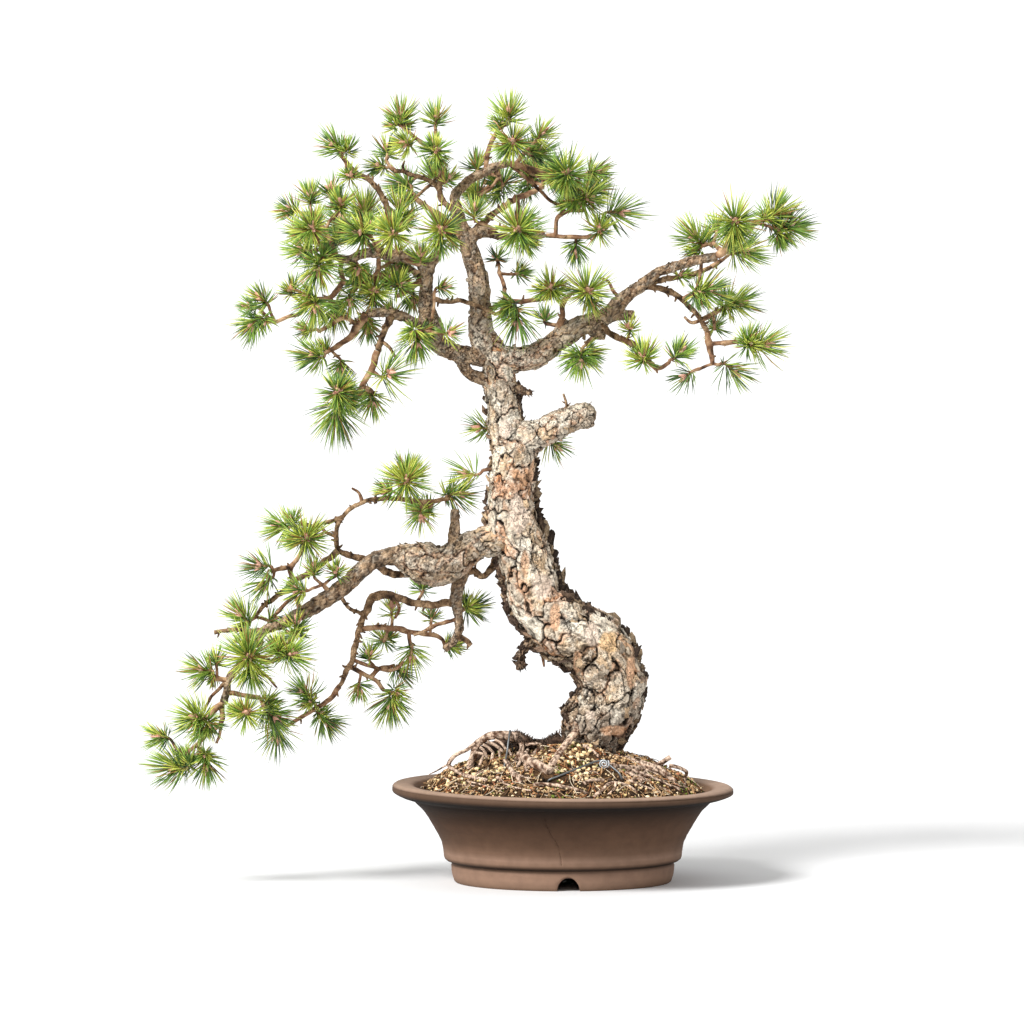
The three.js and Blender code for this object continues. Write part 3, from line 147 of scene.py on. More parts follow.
# Limbs as seen from the front: (limb it grows from, points (x, z, radius[, y])); the depth y runs evenly
# between the points that give it
LIMBS = {
    "trunk": (None, [
        (33, 84, 20, 0), (33, 104, 22), (32, 126, 23), (30, 141, 25.5), (32, 156, 30), (41, 169, 30.5),
        (47, 181, 30.5), (49, 205, 30.5), (34, 233, 31), (1, 253, 30), (-23, 277, 28), (-34, 311, 27),
        (-41, 336, 26), (-50, 361, 25), (-51, 410, 22), (-50, 435, 20), (-57, 457, 17), (-60, 480, 16),
        (-63, 502, 16), (-66, 532, 15, 0),
    ]),
    "leader": ("trunk", [
        (-66, 526, 13), (-79, 544, 13), (-83, 560, 11), (-83, 577, 9.5), (-84, 593, 11), (-86, 610, 9.5),
        (-91, 626, 9), (-95, 640, 8.3), (-96, 650, 7, 0),
    ]),
    "dead_stub": ("trunk", [
        (-50, 446, 17), (-24, 449, 15), (-7, 458, 13.5), (4, 463, 12.5), (15, 467, 12.5), (24, 468, 12.5),
        (30, 468, 9), (32.5, 468, 3.5, -10),
    ]),
    "dead_twig": ("dead_stub", [(2, 468, 2.4), (3, 480, 1.9), (0, 490, 1.2, -10)]),
    "broken_stub": ("trunk", [(-58, 494, 5), (-47, 495, 4), (-33, 490, 2, -6)]),
    "low_snag": ("trunk", [(-12, 252, 8), (-31, 241, 4.6), (-43, 227, 3.4), (-42, 214, 1.6, -6)]),
    "low_spur": ("trunk", [(30, 192, 9), (14, 187, 4.6), (6, 179, 3.2), (-2, 170, 1.2, -8)]),
    "left_trunk": ("trunk", [
        (-66, 526, 9), (-90, 527, 9), (-103, 530, 8.5), (-117, 534, 8.5, -10), (-128, 544, 9.5),
        (-130, 557, 10), (-135, 570, 8.5), (-137, 585, 7, -22), (-136, 602, 6.5), (-135, 613, 6.5),
        (-132, 621, 6), (-125, 630, 4.5, -28),
    ]),
    "strut": ("trunk", [
        (-63, 502, 7), (-83, 505, 6), (-94, 510, 5.5), (-100, 519, 5.5), (-105, 528, 6, -6),
    ]),
    "crown_left": ("left_trunk", [
        (-136, 614, 6), (-145, 624, 6), (-157, 627, 6), (-170, 629, 5.7), (-193, 632, 5),
        (-201, 630, 4.5, -38), (-211, 626, 4), (-224, 627, 3.5), (-234, 632, 3, -42),
    ]),
    "crown_rise": ("crown_left", [
        (-172, 629, 4.5), (-174, 655, 4, -14), (-178, 682, 3.8), (-188, 697, 3.6), (-197, 705, 3.5),
        (-208, 711, 3.2), (-216, 720, 2.8, 6),
    ]),
    "crown_drop": ("crown_left", [(-221, 627, 3.2), (-221, 614, 3.2), (-218, 604, 3, -40)]),
    "low_left": ("left_trunk", [
        (-131, 556, 5), (-149, 562, 5), (-160, 568, 5), (-170, 571, 5), (-196, 571, 4.6, -30),
    ]),
    "hanging_left": ("low_left", [(-171, 571, 4.5), (-180, 549, 4.3), (-185, 534, 4, -34)]),
    "crossing": ("left_trunk", [
        (-137, 585, 3.5), (-113, 583, 3), (-98, 583, 3), (-83, 577, 3, -24), (-67, 570, 2.6, -22),
    ]),
    "top_right": ("leader", [
        (-96, 646, 6), (-103, 662, 6), (-107, 677, 5.5), (-108, 684, 5), (-103, 694, 5), (-92, 704, 4.6),
        (-80, 710, 4.3), (-67, 717, 4), (-55, 720, 3.8, -4),
    ]),
    "top_left": ("top_right", [
        (-105, 668, 4.5), (-115, 677, 4), (-122, 686, 4), (-123, 700, 3.5), (-123, 713, 3),
        (-125, 722, 2.6, 6),
    ]),
    "top_left_side": ("top_left", [
        (-122, 692, 3.2), (-133, 702, 3), (-146, 706, 3), (-158, 710, 2.8), (-168, 712, 2.5, 18),
    ]),
    "mid_right": ("leader", [
        (-95, 640, 6), (-87, 650, 6), (-74, 650, 5), (-63, 647, 4), (-40, 646, 3.2), (-17, 648, 2.8, -4),
    ]),
    "back_left": ("leader", [(-91, 628, 6), (-101, 645, 5, 28), (-122, 665, 4, 52)]),
    "back_right": ("leader", [(-95, 644, 5), (-78, 662, 4.5, 24), (-52, 680, 4, 44)]),
    "back_low": ("left_trunk", [(-136, 600, 5), (-150, 612, 4.5, 8), (-178, 630, 4, 34)]),
    "right_limb": ("trunk", [
        (-66, 524, 13), (-45, 524, 12.5), (-29, 527, 12), (-16, 535, 12), (-2, 545, 11), (11, 554, 10.5),
        (24, 560, 10), (37, 565, 9.5, -8), (49, 572, 8.5), (57, 582, 7), (66, 590, 6.5), (77, 598, 6, -14),
        (96, 612, 5), (110, 617, 5), (125, 622, 5), (140, 625, 5), (153, 628, 4.5, -24),
    ]),
    "cut_stub": ("right_limb", [(40, 567, 6), (56, 568, 5.2), (71, 569, 4.5, -12)]),
    "under_stub": ("right_limb", [(28, 560, 7), (33, 550, 6), (42, 548, 4.5, -10)]),
    "right_middle": ("right_limb", [
        (78, 599, 4.2), (96, 603, 4), (110, 605, 3.6), (125, 608, 3.3), (140, 612, 3), (148, 616, 2.4, 8),
    ]),
    "right_droop": ("right_limb", [
        (74, 594, 4.8), (88, 597, 4.3), (100, 594, 4.2), (110, 590, 4, -4), (119, 584, 3.8),
        (128, 575, 3.5), (137, 564, 3.5), (144, 551, 3.5, 8),
    ]),
    "right_low": ("right_limb", [(37, 562, 4.5), (43, 553, 4), (56, 546, 4, -14)]),
    "cascade_knob": ("trunk", [
        (-46, 342, 16), (-85, 340, 15), (-100, 331, 16, -4), (-114, 320, 18), (-127, 317, 18),
        (-141, 321, 21.5), (-155, 326, 15), (-168, 330, 10, -14),
    ]),
    "cascade": ("cascade_knob", [
        (-162, 329, 10), (-183, 326, 8), (-199, 316, 8), (-212, 305, 8), (-223, 295, 8.3, -28),
        (-235, 287, 8.3), (-249, 278, 7.5), (-267, 269, 6), (-282, 261, 4.8), (-298, 255, 4.5),
        (-306, 244, 4, -44), (-322, 222, 3.6), (-334, 206, 4), (-335, 195, 4), (-339, 183, 4, -50),
    ]),
    "cascade_stub": ("cascade", [
        (-299, 255, 3.6), (-320, 256, 3), (-337, 255, 2.9), (-348, 253, 2.8, -40),
    ]),
    "upright_stub": ("cascade_knob", [(-110, 330, 8), (-109, 348, 6), (-108, 358, 5), (-108, 374, 4, -8)]),
    "arch": ("cascade", [
        (-190, 322, 5), (-213, 329, 4), (-224, 334, 3.6), (-226, 347, 3.3), (-225, 359, 3.2),
        (-219, 368, 3.1, -6), (-210, 376, 3.1), (-196, 382, 3.1), (-184, 384, 3.2), (-164, 384, 3.5),
        (-150, 382, 3.2, 8),
    ]),
    "arch_left": ("arch", [(-221, 366, 3), (-237, 361, 2.6), (-247, 356, 2.2, -6)]),
    "parallel": ("arch", [
        (-225, 334, 3.6), (-232, 327, 3.6), (-241, 319, 3.8), (-251, 312, 4), (-261, 305, 4),
        (-270, 301, 4, 14), (-277, 294, 3.8), (-286, 286, 3.6), (-301, 275, 3), (-308, 265, 2.6, 12),
    ]),
    "hanging": ("cascade_knob", [
        (-102, 330, 9), (-102, 306, 7), (-106, 294, 6.3, 6), (-107, 284, 6.3), (-105, 267, 4.6),
        (-104, 252, 4.5), (-107, 244, 4.2), (-119, 232, 3.6, 16),
    ]),
    "hanging_fork": ("hanging", [(-106, 246, 4), (-98, 241, 3.6), (-92, 236, 3.2, 14)]),
    "hanging_side": ("hanging", [
        (-103, 308, 4.6), (-89, 311, 4.6), (-80, 305, 4.2), (-73, 312, 4.6), (-66, 324, 7, 12),
    ]),
    "under_run": ("hanging", [
        (-107, 281, 5), (-130, 277, 4.8), (-146, 278, 4.8), (-165, 283, 5), (-181, 286, 5.4, 26),
        (-191, 283, 5.8), (-197, 272, 5), (-202, 262, 4.6), (-205, 249, 4, 24), (-209, 234, 3.7),
        (-211, 221, 3.8), (-217, 209, 4), (-224, 195, 3, 14),
    ]),
    "link": ("cascade", [(-223, 290, 3), (-214, 275, 2.6), (-200, 267, 2.6, 18)]),
    "back_branch": ("cascade", [(-190, 321, 5), (-176, 312, 5), (-159, 308, 5, 4), (-146, 311, 5, 4)]),
}

# Bare twigs: (limb, points (x, z, radius))
TWIGS = [
    ("top_left_side", [(-159, 711, 1.8), (-160, 716, 1.5), (-158, 722, 1.1)]),
    ("top_right", [(-40, 715, 2), (-24, 694, 1.9), (-9, 680, 1.8), (13, 679, 1.6)]),
    ("top_right", [(-10, 706, 2), (14, 694, 1.9), (28, 693, 1.7), (30, 679, 1.4)]),
    ("right_limb", [(138, 624, 2), (136, 607, 1.8), (133, 598, 1.3)]),
    ("right_droop", [(138, 563, 2.2), (128, 560, 1.8), (121, 566, 1.3)]),
    ("right_limb", [(60, 585, 2.2), (50, 592, 1.9), (44, 603, 1.5), (36, 606, 1.1)]),
    ("cascade", [(-262, 272, 2.6), (-267, 288, 2.2), (-282, 276, 2), (-288, 269, 1.6)]),
    ("cascade", [(-339, 183, 2), (-341, 159, 1.8), (-345, 143, 1.3)]),
    ("cascade", [(-322, 222, 2), (-306, 218, 1.8), (-293, 208, 1.6), (-285, 199, 1.2)]),
    ("cascade", [(-334, 206, 2), (-350, 190, 1.8), (-358, 176, 1.4)]),
    ("under_run", [(-170, 283, 2), (-164, 272, 1.8), (-168, 262, 1.5)]),
    ("under_run", [(-211, 221, 2.2), (-194, 215, 2), (-167, 212, 1.8), (-160, 219, 1.4)]),
    ("hanging", [(-106, 263, 2.2), (-118, 260, 2), (-127, 257, 2), (-137, 251, 1.9), (-150, 247, 1.6)]),
    ("arch", [(-226, 347, 2), (-237, 352, 1.7), (-243, 360, 1.2)]),
    ("arch", [(-200, 380, 2), (-204, 390, 1.6), (-211, 395, 1.1)]),
    ("low_left", [(-150, 562, 2), (-152, 551, 1.7), (-160, 545, 1.2)]),
    ("left_trunk", [(-140, 607, 3.2), (-150, 598, 3), (-160, 591, 2.6), (-168, 588, 1.8)]),
    ("hanging_left", [(-182, 545, 2.2), (-172, 536, 1.8), (-166, 526, 1.4)]),
    ("low_snag", [(-32, 239, 3.4), (-22, 232, 2.6), (-19, 216, 1)]),
]

# Roots: points (x, y, z, radius) from the foot of the trunk
ROOTS = [
    [
        (0, -4, 139, 12), (-13, -9, 134, 10.5), (-24, -14, 133, 8), (-38, -21, 140, 7),
        (-46, -25, 146, 5.5), (-57, -28, 149, 4.6), (-76, -30, 148, 4.2), (-86, -31, 140, 3.8),
        (-91, -32, 126, 3.8), (-95, -34, 104, 3),
    ],
    [
        (15, -16, 154, 3.2), (8.7, -32, 148.6, 3.6), (-1.5, -50, 136.4, 3.6), (-11.3, -68, 123.8, 3.6),
        (-15, -76, 116, 3.4),
    ],
    [
        (-4, 6, 134, 9), (-30, 4, 133, 8.5), (-56, 0, 136, 8.6), (-74, -4, 132, 7.6), (-86, -10, 124, 7),
        (-92, -16, 106, 5),
    ],
    [(-37, -30, 140.2, 1.6), (-29, -33, 141.2, 1.5), (-21, -31, 140.6, 1.3)],
    [(-42, -25, 143, 2.6), (-42, -40, 135, 2.5), (-46, -50, 127, 2.3), (-49, -58, 117, 2.1)],
    [(8, -14, 122, 8), (-6, -44, 121, 5.5), (-26, -62, 122, 4.5), (-46, -78, 112, 3)],
    [(52, -18, 122, 7), (76, -34, 121, 4), (96, -44, 116, 3.5), (112, -48, 104, 2.5)],
    [(40, -20, 118, 6), (60, -56, 116, 4), (80, -78, 107, 3)],
    [(20, -26, 116, 7), (22, -70, 113, 4), (8, -92, 108, 3.2), (-16, -94, 106, 2.6)],
    [(14, 20, 118, 9), (-20, 48, 104, 6), (-48, 62, 74, 3.5)],
    [(6, 0, 108, 9), (-46, 4, 88, 6), (-88, 6, 62, 4)],
]

# Roots on top of the mound, as seen from the front: points (x, z), radius at the start and at the end
SURFACE_ROOTS = [
    ([(-88, 138), (-96, 132), (-110, 124), (-114, 117), (-103, 108), (-90, 104), (-76, 100)], 2.1, 2.0),
    ([(-112, 119), (-124, 112), (-134, 107)], 1.2, 0.5),
    ([(-58, 121), (-54, 115), (-48, 106), (-41, 98)], 2.9, 2.4),
    ([(-44, 126), (-38, 122), (-24, 115), (-12, 109)], 5.4, 4.8),
    ([(20, 136), (28, 132), (36, 124)], 1.9, 1.6), ([(-34, 136), (-40, 124), (-46, 114)], 2.4, 1.6),
    ([(-20, 134), (-30, 128), (-38, 119), (-36, 110)], 2.2, 1.4),
    ([(40, 116), (54, 114), (72, 113), (88, 115), (98, 119), (107, 125)], 3, 2.6),
    ([(88, 115), (80, 108), (68, 101)], 2.2, 1.4),
    ([(106, 116), (112, 115), (119, 112), (122, 104), (121, 96)], 2.2, 1.6),
    ([(-30, 96), (-23, 96), (-10, 96), (1, 94), (14, 91), (25, 87)], 2.4, 1.4),
    ([(20, 97), (28, 100), (40, 101)], 2.5, 2.0),
    ([(30, 84), (38, 90), (48, 98), (54, 98), (64, 95), (74, 88)], 1.9, 1.2),
    ([(52, 98), (50, 92), (44, 86)], 1.4, 0.9), ([(68, 111), (84, 106), (100, 98), (117, 90)], 1.9, 1.2),
    ([(62, 107), (80, 102), (96, 94), (108, 89)], 1.6, 1.0),
    ([(72, 106), (90, 103), (106, 96), (121, 91)], 1.4, 0.9),
    ([(58, 104), (74, 97), (90, 91), (100, 87)], 1.4, 0.8),
    ([(82, 112), (98, 105), (112, 97), (126, 93)], 1.3, 0.8),
    ([(-76, 112), (-88, 106), (-98, 98)], 1.8, 1.0),
    ([(-66, 104), (-58, 97), (-44, 92), (-30, 90)], 1.6, 1.0),
    ([(-120, 104), (-104, 97), (-88, 95)], 1.2, 0.7),
    ([(-52, 112), (-44, 106), (-36, 103), (-26, 104)], 1.3, 0.8),
    ([(6, 112), (18, 108), (30, 109), (38, 105)], 1.4, 0.8),
    ([(-96, 100), (-84, 97), (-70, 93), (-56, 92)], 1.1, 0.7),
]
# Which of the roots are the arch, the prop and the old dark one behind the arch, and which surface roots
# are the whitest
ARCH_ROOT = 0
PROP_ROOT = 1
OLD_ROOT = 2
WHITE_ROOTS = (12, 13)

# Pale rootlets in front of the arch's hollow, as seen from the front: radius, points (x, z)
RIBS = [
    (1.3, [(-68, 142), (-62, 138.5), (-57, 132)]), (1.6, [(-76, 140), (-68, 136.5), (-60, 130)]),
    (1.4, [(-80, 137), (-74.5, 134), (-69, 128)]), (1.3, [(-83, 134.5), (-79, 131), (-76, 125)]),
    (1.5, [(-88.5, 129), (-82, 128), (-75, 123.5)]), (1.6, [(-70, 129), (-71.3, 120), (-74, 110)]),
    (1.4, [(-79, 127), (-82, 119), (-86, 110)]), (1.3, [(-64, 131), (-63, 122), (-66, 113)]),
    (1.2, [(-56, 134), (-52, 127), (-50, 116)]),
]
RIB_DEPTH = -37

# Sprays: (limb, twigs as points (x, z, radius[, y]), tufts (x, z, y, reach, facing[, fullness])); the later
# twigs grow from the first
SPRAYS = {
    "crown": [
        ("top_right", [[(-78, 711, 2.6), (-73, 737, 2.3, -4), (-64, 755, 2, -8)]], [
            (-54, 772, -10, 25, "up"), (-50, 743, -42, 27, "front"),
        ]),
        ("top_right", [
            [(-55, 720, 3.4), (-40, 716, 3.2), (-20, 711, 2.8), (-5, 703, 2.5), (12, 699, 2.2, -12)],
            [(-48, 718, 2.4), (-38, 730, 2.2, 6)],
        ], [
            (4, 712, -54, 32, "front"), (35, 712, -14, 20, "right"), (-20, 750, -4, 20, "up_right"),
            (-22, 729, 34, 24, "back_right"),
        ]),
        ("top_right", [[(-68, 716, 2.6), (-64, 706, 2.3, 28)]], [
            (-60, 700, 62, 28, "back"), (-86, 718, 38, 20, "back_up"), (-84, 690, 40, 22, "back"),
        ]),
        ("mid_right", [[(-74, 650, 2.6), (-68, 655, 2.3, -24), (-58, 657, 2.1, -42)]], [
            (-45, 657, -78, 35, "front"), (-88, 674, -28, 20, "up"),
        ]),
        ("left_trunk", [], [
            (-121, 657, -76, 32, "front"),
        ]),
        ("crown_left", [[(-184, 631, 2.6), (-184, 643, 2.3, -52)]], [
            (-168, 653, -78, 30, "front"), (-204, 652, -52, 27, "front_left"), (-142, 630, -40, 18, "up"),
            (-163, 676, 6, 27, "up"), (-199, 676, 14, 25, "up"), (-232, 694, 22, 20, "up", 0.6),
        ]),
        ("crown_left", [[(-234, 632, 2.6), (-243, 641, 2.3, -46)]], [
            (-249, 658, -64, 27, "front"), (-262, 634, -30, 22, "left"), (-243, 614, -62, 30, "front_down"),
            (-205, 614, -34, 22, "front_down"), (-264, 650, 10, 22, "left"),
        ]),
        ("crown_left", [[(-224, 628, 2.6), (-238, 654, 2.3, -4), (-250, 670, 2.1, 12)]], [
            (-252, 688, 18, 20, "up"), (-275, 672, 20, 20, "left"), (-222, 681, -24, 22, "front_up"),
        ]),
        ("crown_rise", [[(-216, 720, 2.6), (-222, 729, 2.3, 8)]], [
            (-229, 739, 10, 25, "up_left"), (-212, 708, -28, 17, "front"),
        ]),
        ("top_left_side", [[(-168, 712, 2.6), (-174, 717, 2.3, 22)]], [
            (-186, 716, 20, 17, "left"), (-176, 733, 32, 20, "back_up"),
        ]),
        ("top_left", [
            [(-125, 722, 2.6), (-126, 740, 2.3, 8), (-127, 752, 2.1, 10)],
            [(-126, 733, 2.3), (-139, 739, 2.2, 4), (-153, 750, 2, 4)],
        ], [
            (-127, 767, 10, 21, "up"), (-126, 734, -32, 22, "front"), (-162, 769, 8, 22, "up"),
            (-158, 740, -22, 20, "front_left"), (-112, 706, -20, 15, "up_right"),
        ]),
        ("back_right", [[(-52, 680, 3.4), (-28, 690, 2.8, 62), (-20, 694, 2.3, 68)]], [
            (-8, 706, 84, 30, "back_right"), (-34, 706, 98, 28, "back"), (-40, 660, 74, 22, "back_right"),
        ]),
        ("back_left", [[(-122, 665, 3.4), (-145, 680, 2.8, 72), (-152, 686, 2.3, 78)]], [
            (-162, 697, 92, 27, "back_left"), (-130, 708, 88, 24, "back_up"), (-114, 650, 88, 24, "back"),
        ]),
        ("back_low", [[(-178, 630, 3.4), (-200, 640, 2.8, 50), (-208, 645, 2.3, 56)]], [
            (-224, 656, 66, 26, "back_left"), (-196, 668, 78, 22, "back_up"), (-168, 606, 68, 26, "back"),
            (-236, 640, 44, 24, "back_left"),
        ]),
        ("crown_drop", [
            [
                (-218, 604, 2.8), (-225, 595, 2.8), (-232, 587, 2.6), (-251, 585, 2.5), (-264, 571, 2.3),
                (-276, 567, 2.1), (-288, 562, 2, -28),
            ],
        ], [
            (-311, 559, -30, 25, "down_left"), (-301, 587, -28, 20, "up_left"),
            (-313, 577, -10, 15, "left"), (-246, 578, -58, 30, "front_down"), (-228, 568, -10, 24, "down"),
            (-270, 596, -40, 19, "front_up"),
        ]),
        ("crown_left", [[(-183, 629, 2.6), (-185, 612, 2.3, -30)]], [
            (-188, 594, -28, 26, "front"), (-160, 600, -30, 23, "front_right"),
            (-212, 583, -36, 21, "front_down"), (-166, 616, 4, 23, "front_down"),
            (-150, 582, 8, 20, "down"), (-208, 602, 20, 24, "back_left"),
        ]),
        ("low_left", [
            [
                (-196, 571, 4), (-205, 557, 3.8), (-211, 548, 3.3), (-221, 541, 2.8), (-231, 534, 2.4),
                (-238, 531, 2.1, -24),
            ],
            [(-203, 560, 2.6), (-220, 566, 2.5), (-230, 560, 2.3), (-243, 552, 2, -14)],
        ], [
            (-251, 529, -24, 26, "left"), (-222, 514, -10, 20, "down"), (-258, 554, -6, 15, "left"),
            (-195, 552, 12, 22, "down", 0.8),
        ]),
        ("hanging_left", [
            [(-185, 534, 3.8), (-191, 515, 3.4), (-199, 502, 3), (-203, 492, 2.5), (-209, 482, 2.2, -40)],
        ], [
            (-226, 468, -38, 35, "down"), (-224, 496, -66, 27, "front"), (-190, 480, -16, 22, "down"),
            (-172, 512, -50, 34, "front_right", 0.5),
        ]),
        ("left_trunk", [[(-131, 560, 2.6), (-134, 553, 2.3, -36)]], [
            (-146, 540, -36, 25, "down"), (-112, 553, -44, 20, "front_right", 0.6),
            (-173, 574, -20, 15, "up_left"), (-118, 598, -44, 14, "right"),
        ]),
        ("mid_right", [
            [(-17, 648, 2.6), (9, 646, 2.4), (23, 646, 2.2), (36, 650, 2.1), (44, 656, 2, -8)],
            [(-8, 648, 2.3), (-4, 668, 2.2), (8, 672, 2.1), (20, 672, 2, 4)],
        ], [
            (58, 671, -10, 34, "right", 0.5), (36, 655, -38, 23, "front"), (13, 632, -2, 20, "down"),
            (26, 686, -30, 27, "front_right"), (36, 694, 26, 22, "back_right"), (8, 690, 6, 22, "up"),
        ]),
        ("leader", [
            [
                (-83, 570, 3.2), (-70, 575, 2.8), (-60, 581, 2.6), (-42, 582, 2.5), (-26, 584, 2.4),
                (-12, 587, 2.2, -8),
            ],
            [(-57, 581, 2.3), (-60, 600, 2.2), (-64, 611, 2.1, 14)],
        ], [
            (-12, 598, -42, 25, "front"), (-42, 610, 28, 16, "back_right"), (-66, 624, 40, 16, "back"),
        ]),
        ("crossing", [], [
            (-46, 562, -26, 30, "down", 0.7),
        ]),
    ],
    "right_limb": [
        ("right_limb", [
            [(-2, 545, 3.4), (-2, 559, 3.1), (-1, 570, 2.9), (1, 583, 2.7), (8, 590, 2.4, -12)],
        ], [
            (24, 595, -50, 33, "front"), (-18, 566, 18, 16, "back_up"),
        ]),
        ("under_stub", [[(33, 548, 2.8), (23, 539, 2.5, -12)]], [
            (18, 522, -28, 29, "front_down", 0.75),
        ]),
        ("right_limb", [
            [(153, 628, 4), (160, 634, 3.8), (165, 641, 3.4, -28), (177, 655, 2.6), (192, 661, 2.2, -22)],
            [(158, 633, 2.6), (150, 640, 2.3, 4)],
        ], [
            (170, 665, -68, 35, "front"), (214, 674, -24, 27, "up_right"), (229, 657, -20, 27, "right"),
            (130, 647, 18, 27, "up_left"), (154, 656, 30, 18, "back_up"),
        ]),
        ("right_middle", [[(148, 616, 2.6), (160, 623, 2.3, 14)]], [
            (184, 631, 20, 30, "right"), (119, 609, -10, 14, "front_right"),
        ]),
        ("right_droop", [[(119, 584, 2.8), (131, 590, 2.4, -8)]], [
            (147, 594, -18, 27, "right"),
        ]),
        ("right_droop", [[(138, 563, 2.8), (150, 569, 2.4, 12), (162, 575, 2.2, 16)]], [
            (178, 580, 20, 28, "right"), (152, 556, 38, 20, "back"),
        ]),
        ("right_droop", [
            [(144, 551, 3.2), (146, 542, 3.1), (148, 530, 2.9), (150, 519, 2.5, 12)],
            [(147, 539, 2.5), (158, 540, 2.4, 4), (178, 542, 2.2, -2), (190, 540, 2, -4)],
        ], [
            (203, 539, -6, 30, "right", 0.75), (171, 510, 14, 29, "down_right", 0.5),
            (122, 505, 12, 21, "down_left", 0.5),
        ]),
        ("right_low", [
            [
                (56, 546, 3.8), (69, 540, 3.6), (77, 530, 3.2), (85, 523, 2.9), (96, 516, 2.4),
                (106, 522, 2, -22),
            ],
        ], [
            (117, 533, -26, 21, "up_right"), (80, 531, -42, 26, "front_up"), (66, 558, -30, 17, "front_up"),
        ]),
        ("dead_stub", [[(-26, 448, 2.6), (-18, 438, 2.3, 14)]], [
            (-7, 436, 18, 24, "down_right", 0.55),
        ]),
        ("trunk", [], [
            (-84, 455, 12, 22, "left", 0.5),
        ]),
        ("trunk", [[(-54, 416, 2), (-80, 413, 1.8, -2)]], [
            (-98, 410, -4, 26, "left", 0.4),
        ]),
    ],
    "cascade": [
        ("arch", [[(-164, 384, 2.6), (-161, 394, 2.3, -8)]], [
            (-156, 405, -42, 33, "front"), (-178, 394, -22, 16, "left"),
        ]),
        ("arch", [[(-150, 382, 2.8), (-130, 381, 2.4), (-114, 383, 2.1, 18)]], [
            (-102, 388, 18, 26, "right", 0.65), (-142, 372, 42, 22, "back_left"),
            (-142, 366, -12, 24, "front_down", 0.6),
        ]),
        ("arch_left", [[(-247, 356, 2.4), (-262, 359, 2.1, 2)]], [
            (-284, 357, 2, 24, "left"),
        ]),
        ("parallel", [
            [(-270, 301, 2.8), (-273, 315, 2.5), (-268, 321, 2.4), (-262, 331, 2.2, 4)],
            [(-273, 315, 2.3), (-284, 314, 2.1, 2), (-291, 311, 2, -2)],
        ], [
            (-256, 348, -44, 33, "front"), (-304, 317, -8, 26, "left", 0.5),
            (-301, 297, 6, 27, "down_left", 0.5),
        ]),
        ("cascade", [[(-230, 291, 2.6), (-240, 301, 2.3, -38)]], [
            (-266, 297, -54, 20, "left"), (-226, 316, -46, 17, "front_up"), (-248, 318, -42, 16, "up"),
        ]),
        ("cascade", [[(-304, 248, 2.8), (-300, 244, 2.5, -52)]], [
            (-312, 234, -90, 38, "front"),
        ]),
        ("cascade", [[(-311, 237, 2.8), (-295, 225, 2.5, -46), (-282, 228, 2.3, -44)]], [
            (-269, 234, -64, 30, "front_right"), (-266, 264, -44, 22, "up"),
        ]),
        ("parallel", [[(-308, 265, 2.4), (-313, 262, 2.2, 8)]], [
            (-322, 268, 2, 25, "up_left"), (-290, 262, 26, 16, "back_right"),
        ]),
        ("cascade", [[(-334, 206, 2.8), (-347, 208, 2.5, -50)]], [
            (-361, 216, -46, 25, "left"), (-346, 226, -30, 16, "back_up"),
        ]),
        ("cascade", [
            [(-339, 183, 3.6), (-349, 176, 3.2), (-353, 171, 2.9), (-361, 168, 2.4, -58)],
            [
                (-341, 181, 2.6), (-339, 168, 2.6), (-345, 160, 2.5), (-352, 155, 2.3), (-364, 143, 2.2),
                (-380, 129, 2, -56),
            ],
        ], [
            (-366, 173, -86, 31, "front_left"), (-403, 150, -54, 20, "left"), (-390, 121, -62, 30, "left"),
            (-356, 119, -48, 24, "down"),
        ]),
        ("cascade", [[(-335, 194, 2.8), (-311, 190, 2.5, -44), (-302, 188, 2.3, -42)]], [
            (-315, 176, -70, 25, "front"), (-287, 168, -44, 28, "down_right"),
        ]),
        ("under_run", [
            [
                (-224, 195, 2.8), (-233, 183, 2.6), (-242, 177, 2.5), (-255, 169, 2.3), (-268, 161, 2.2),
                (-276, 156, 2, 0),
            ],
        ], [
            (-286, 145, -4, 27, "down", 0.6), (-260, 192, 0, 24, "up_left"),
            (-236, 158, 18, 24, "down_right"),
        ]),
        ("under_run", [
            [(-214, 215, 2.6), (-199, 206, 2.4, 26), (-188, 200, 2.3, 28), (-180, 190, 2.1, 30)],
            [(-193, 203, 2.3), (-184, 211, 2.2, 34), (-172, 213, 2, 38)],
        ], [
            (-172, 173, 30, 28, "down"), (-204, 190, 16, 18, "down"), (-162, 205, 52, 20, "down_right"),
            (-194, 228, 26, 17, "up"),
        ]),
        ("under_run", [
            [
                (-204, 251, 3.1), (-185, 253, 3), (-165, 251, 2.9), (-155, 248, 2.8), (-143, 246, 2.6),
                (-127, 243, 2.3), (-121, 240, 2.1, 42),
            ],
            [(-155, 248, 2.3), (-153, 236, 2.1), (-152, 228, 1.8, 36)],
        ], [
            (-152, 222, 34, 26, "down", 0.6), (-109, 233, 46, 17, "right"), (-132, 264, 52, 15, "back_up"),
            (-180, 240, 60, 22, "back"), (-172, 273, 36, 18, "up"),
        ]),
        ("hanging", [], [
            (-89, 274, 26, 25, "back_right"),
        ]),
        ("under_run", [], [
            (-141, 295, 38, 18, "back_up"),
        ]),
    ],
}

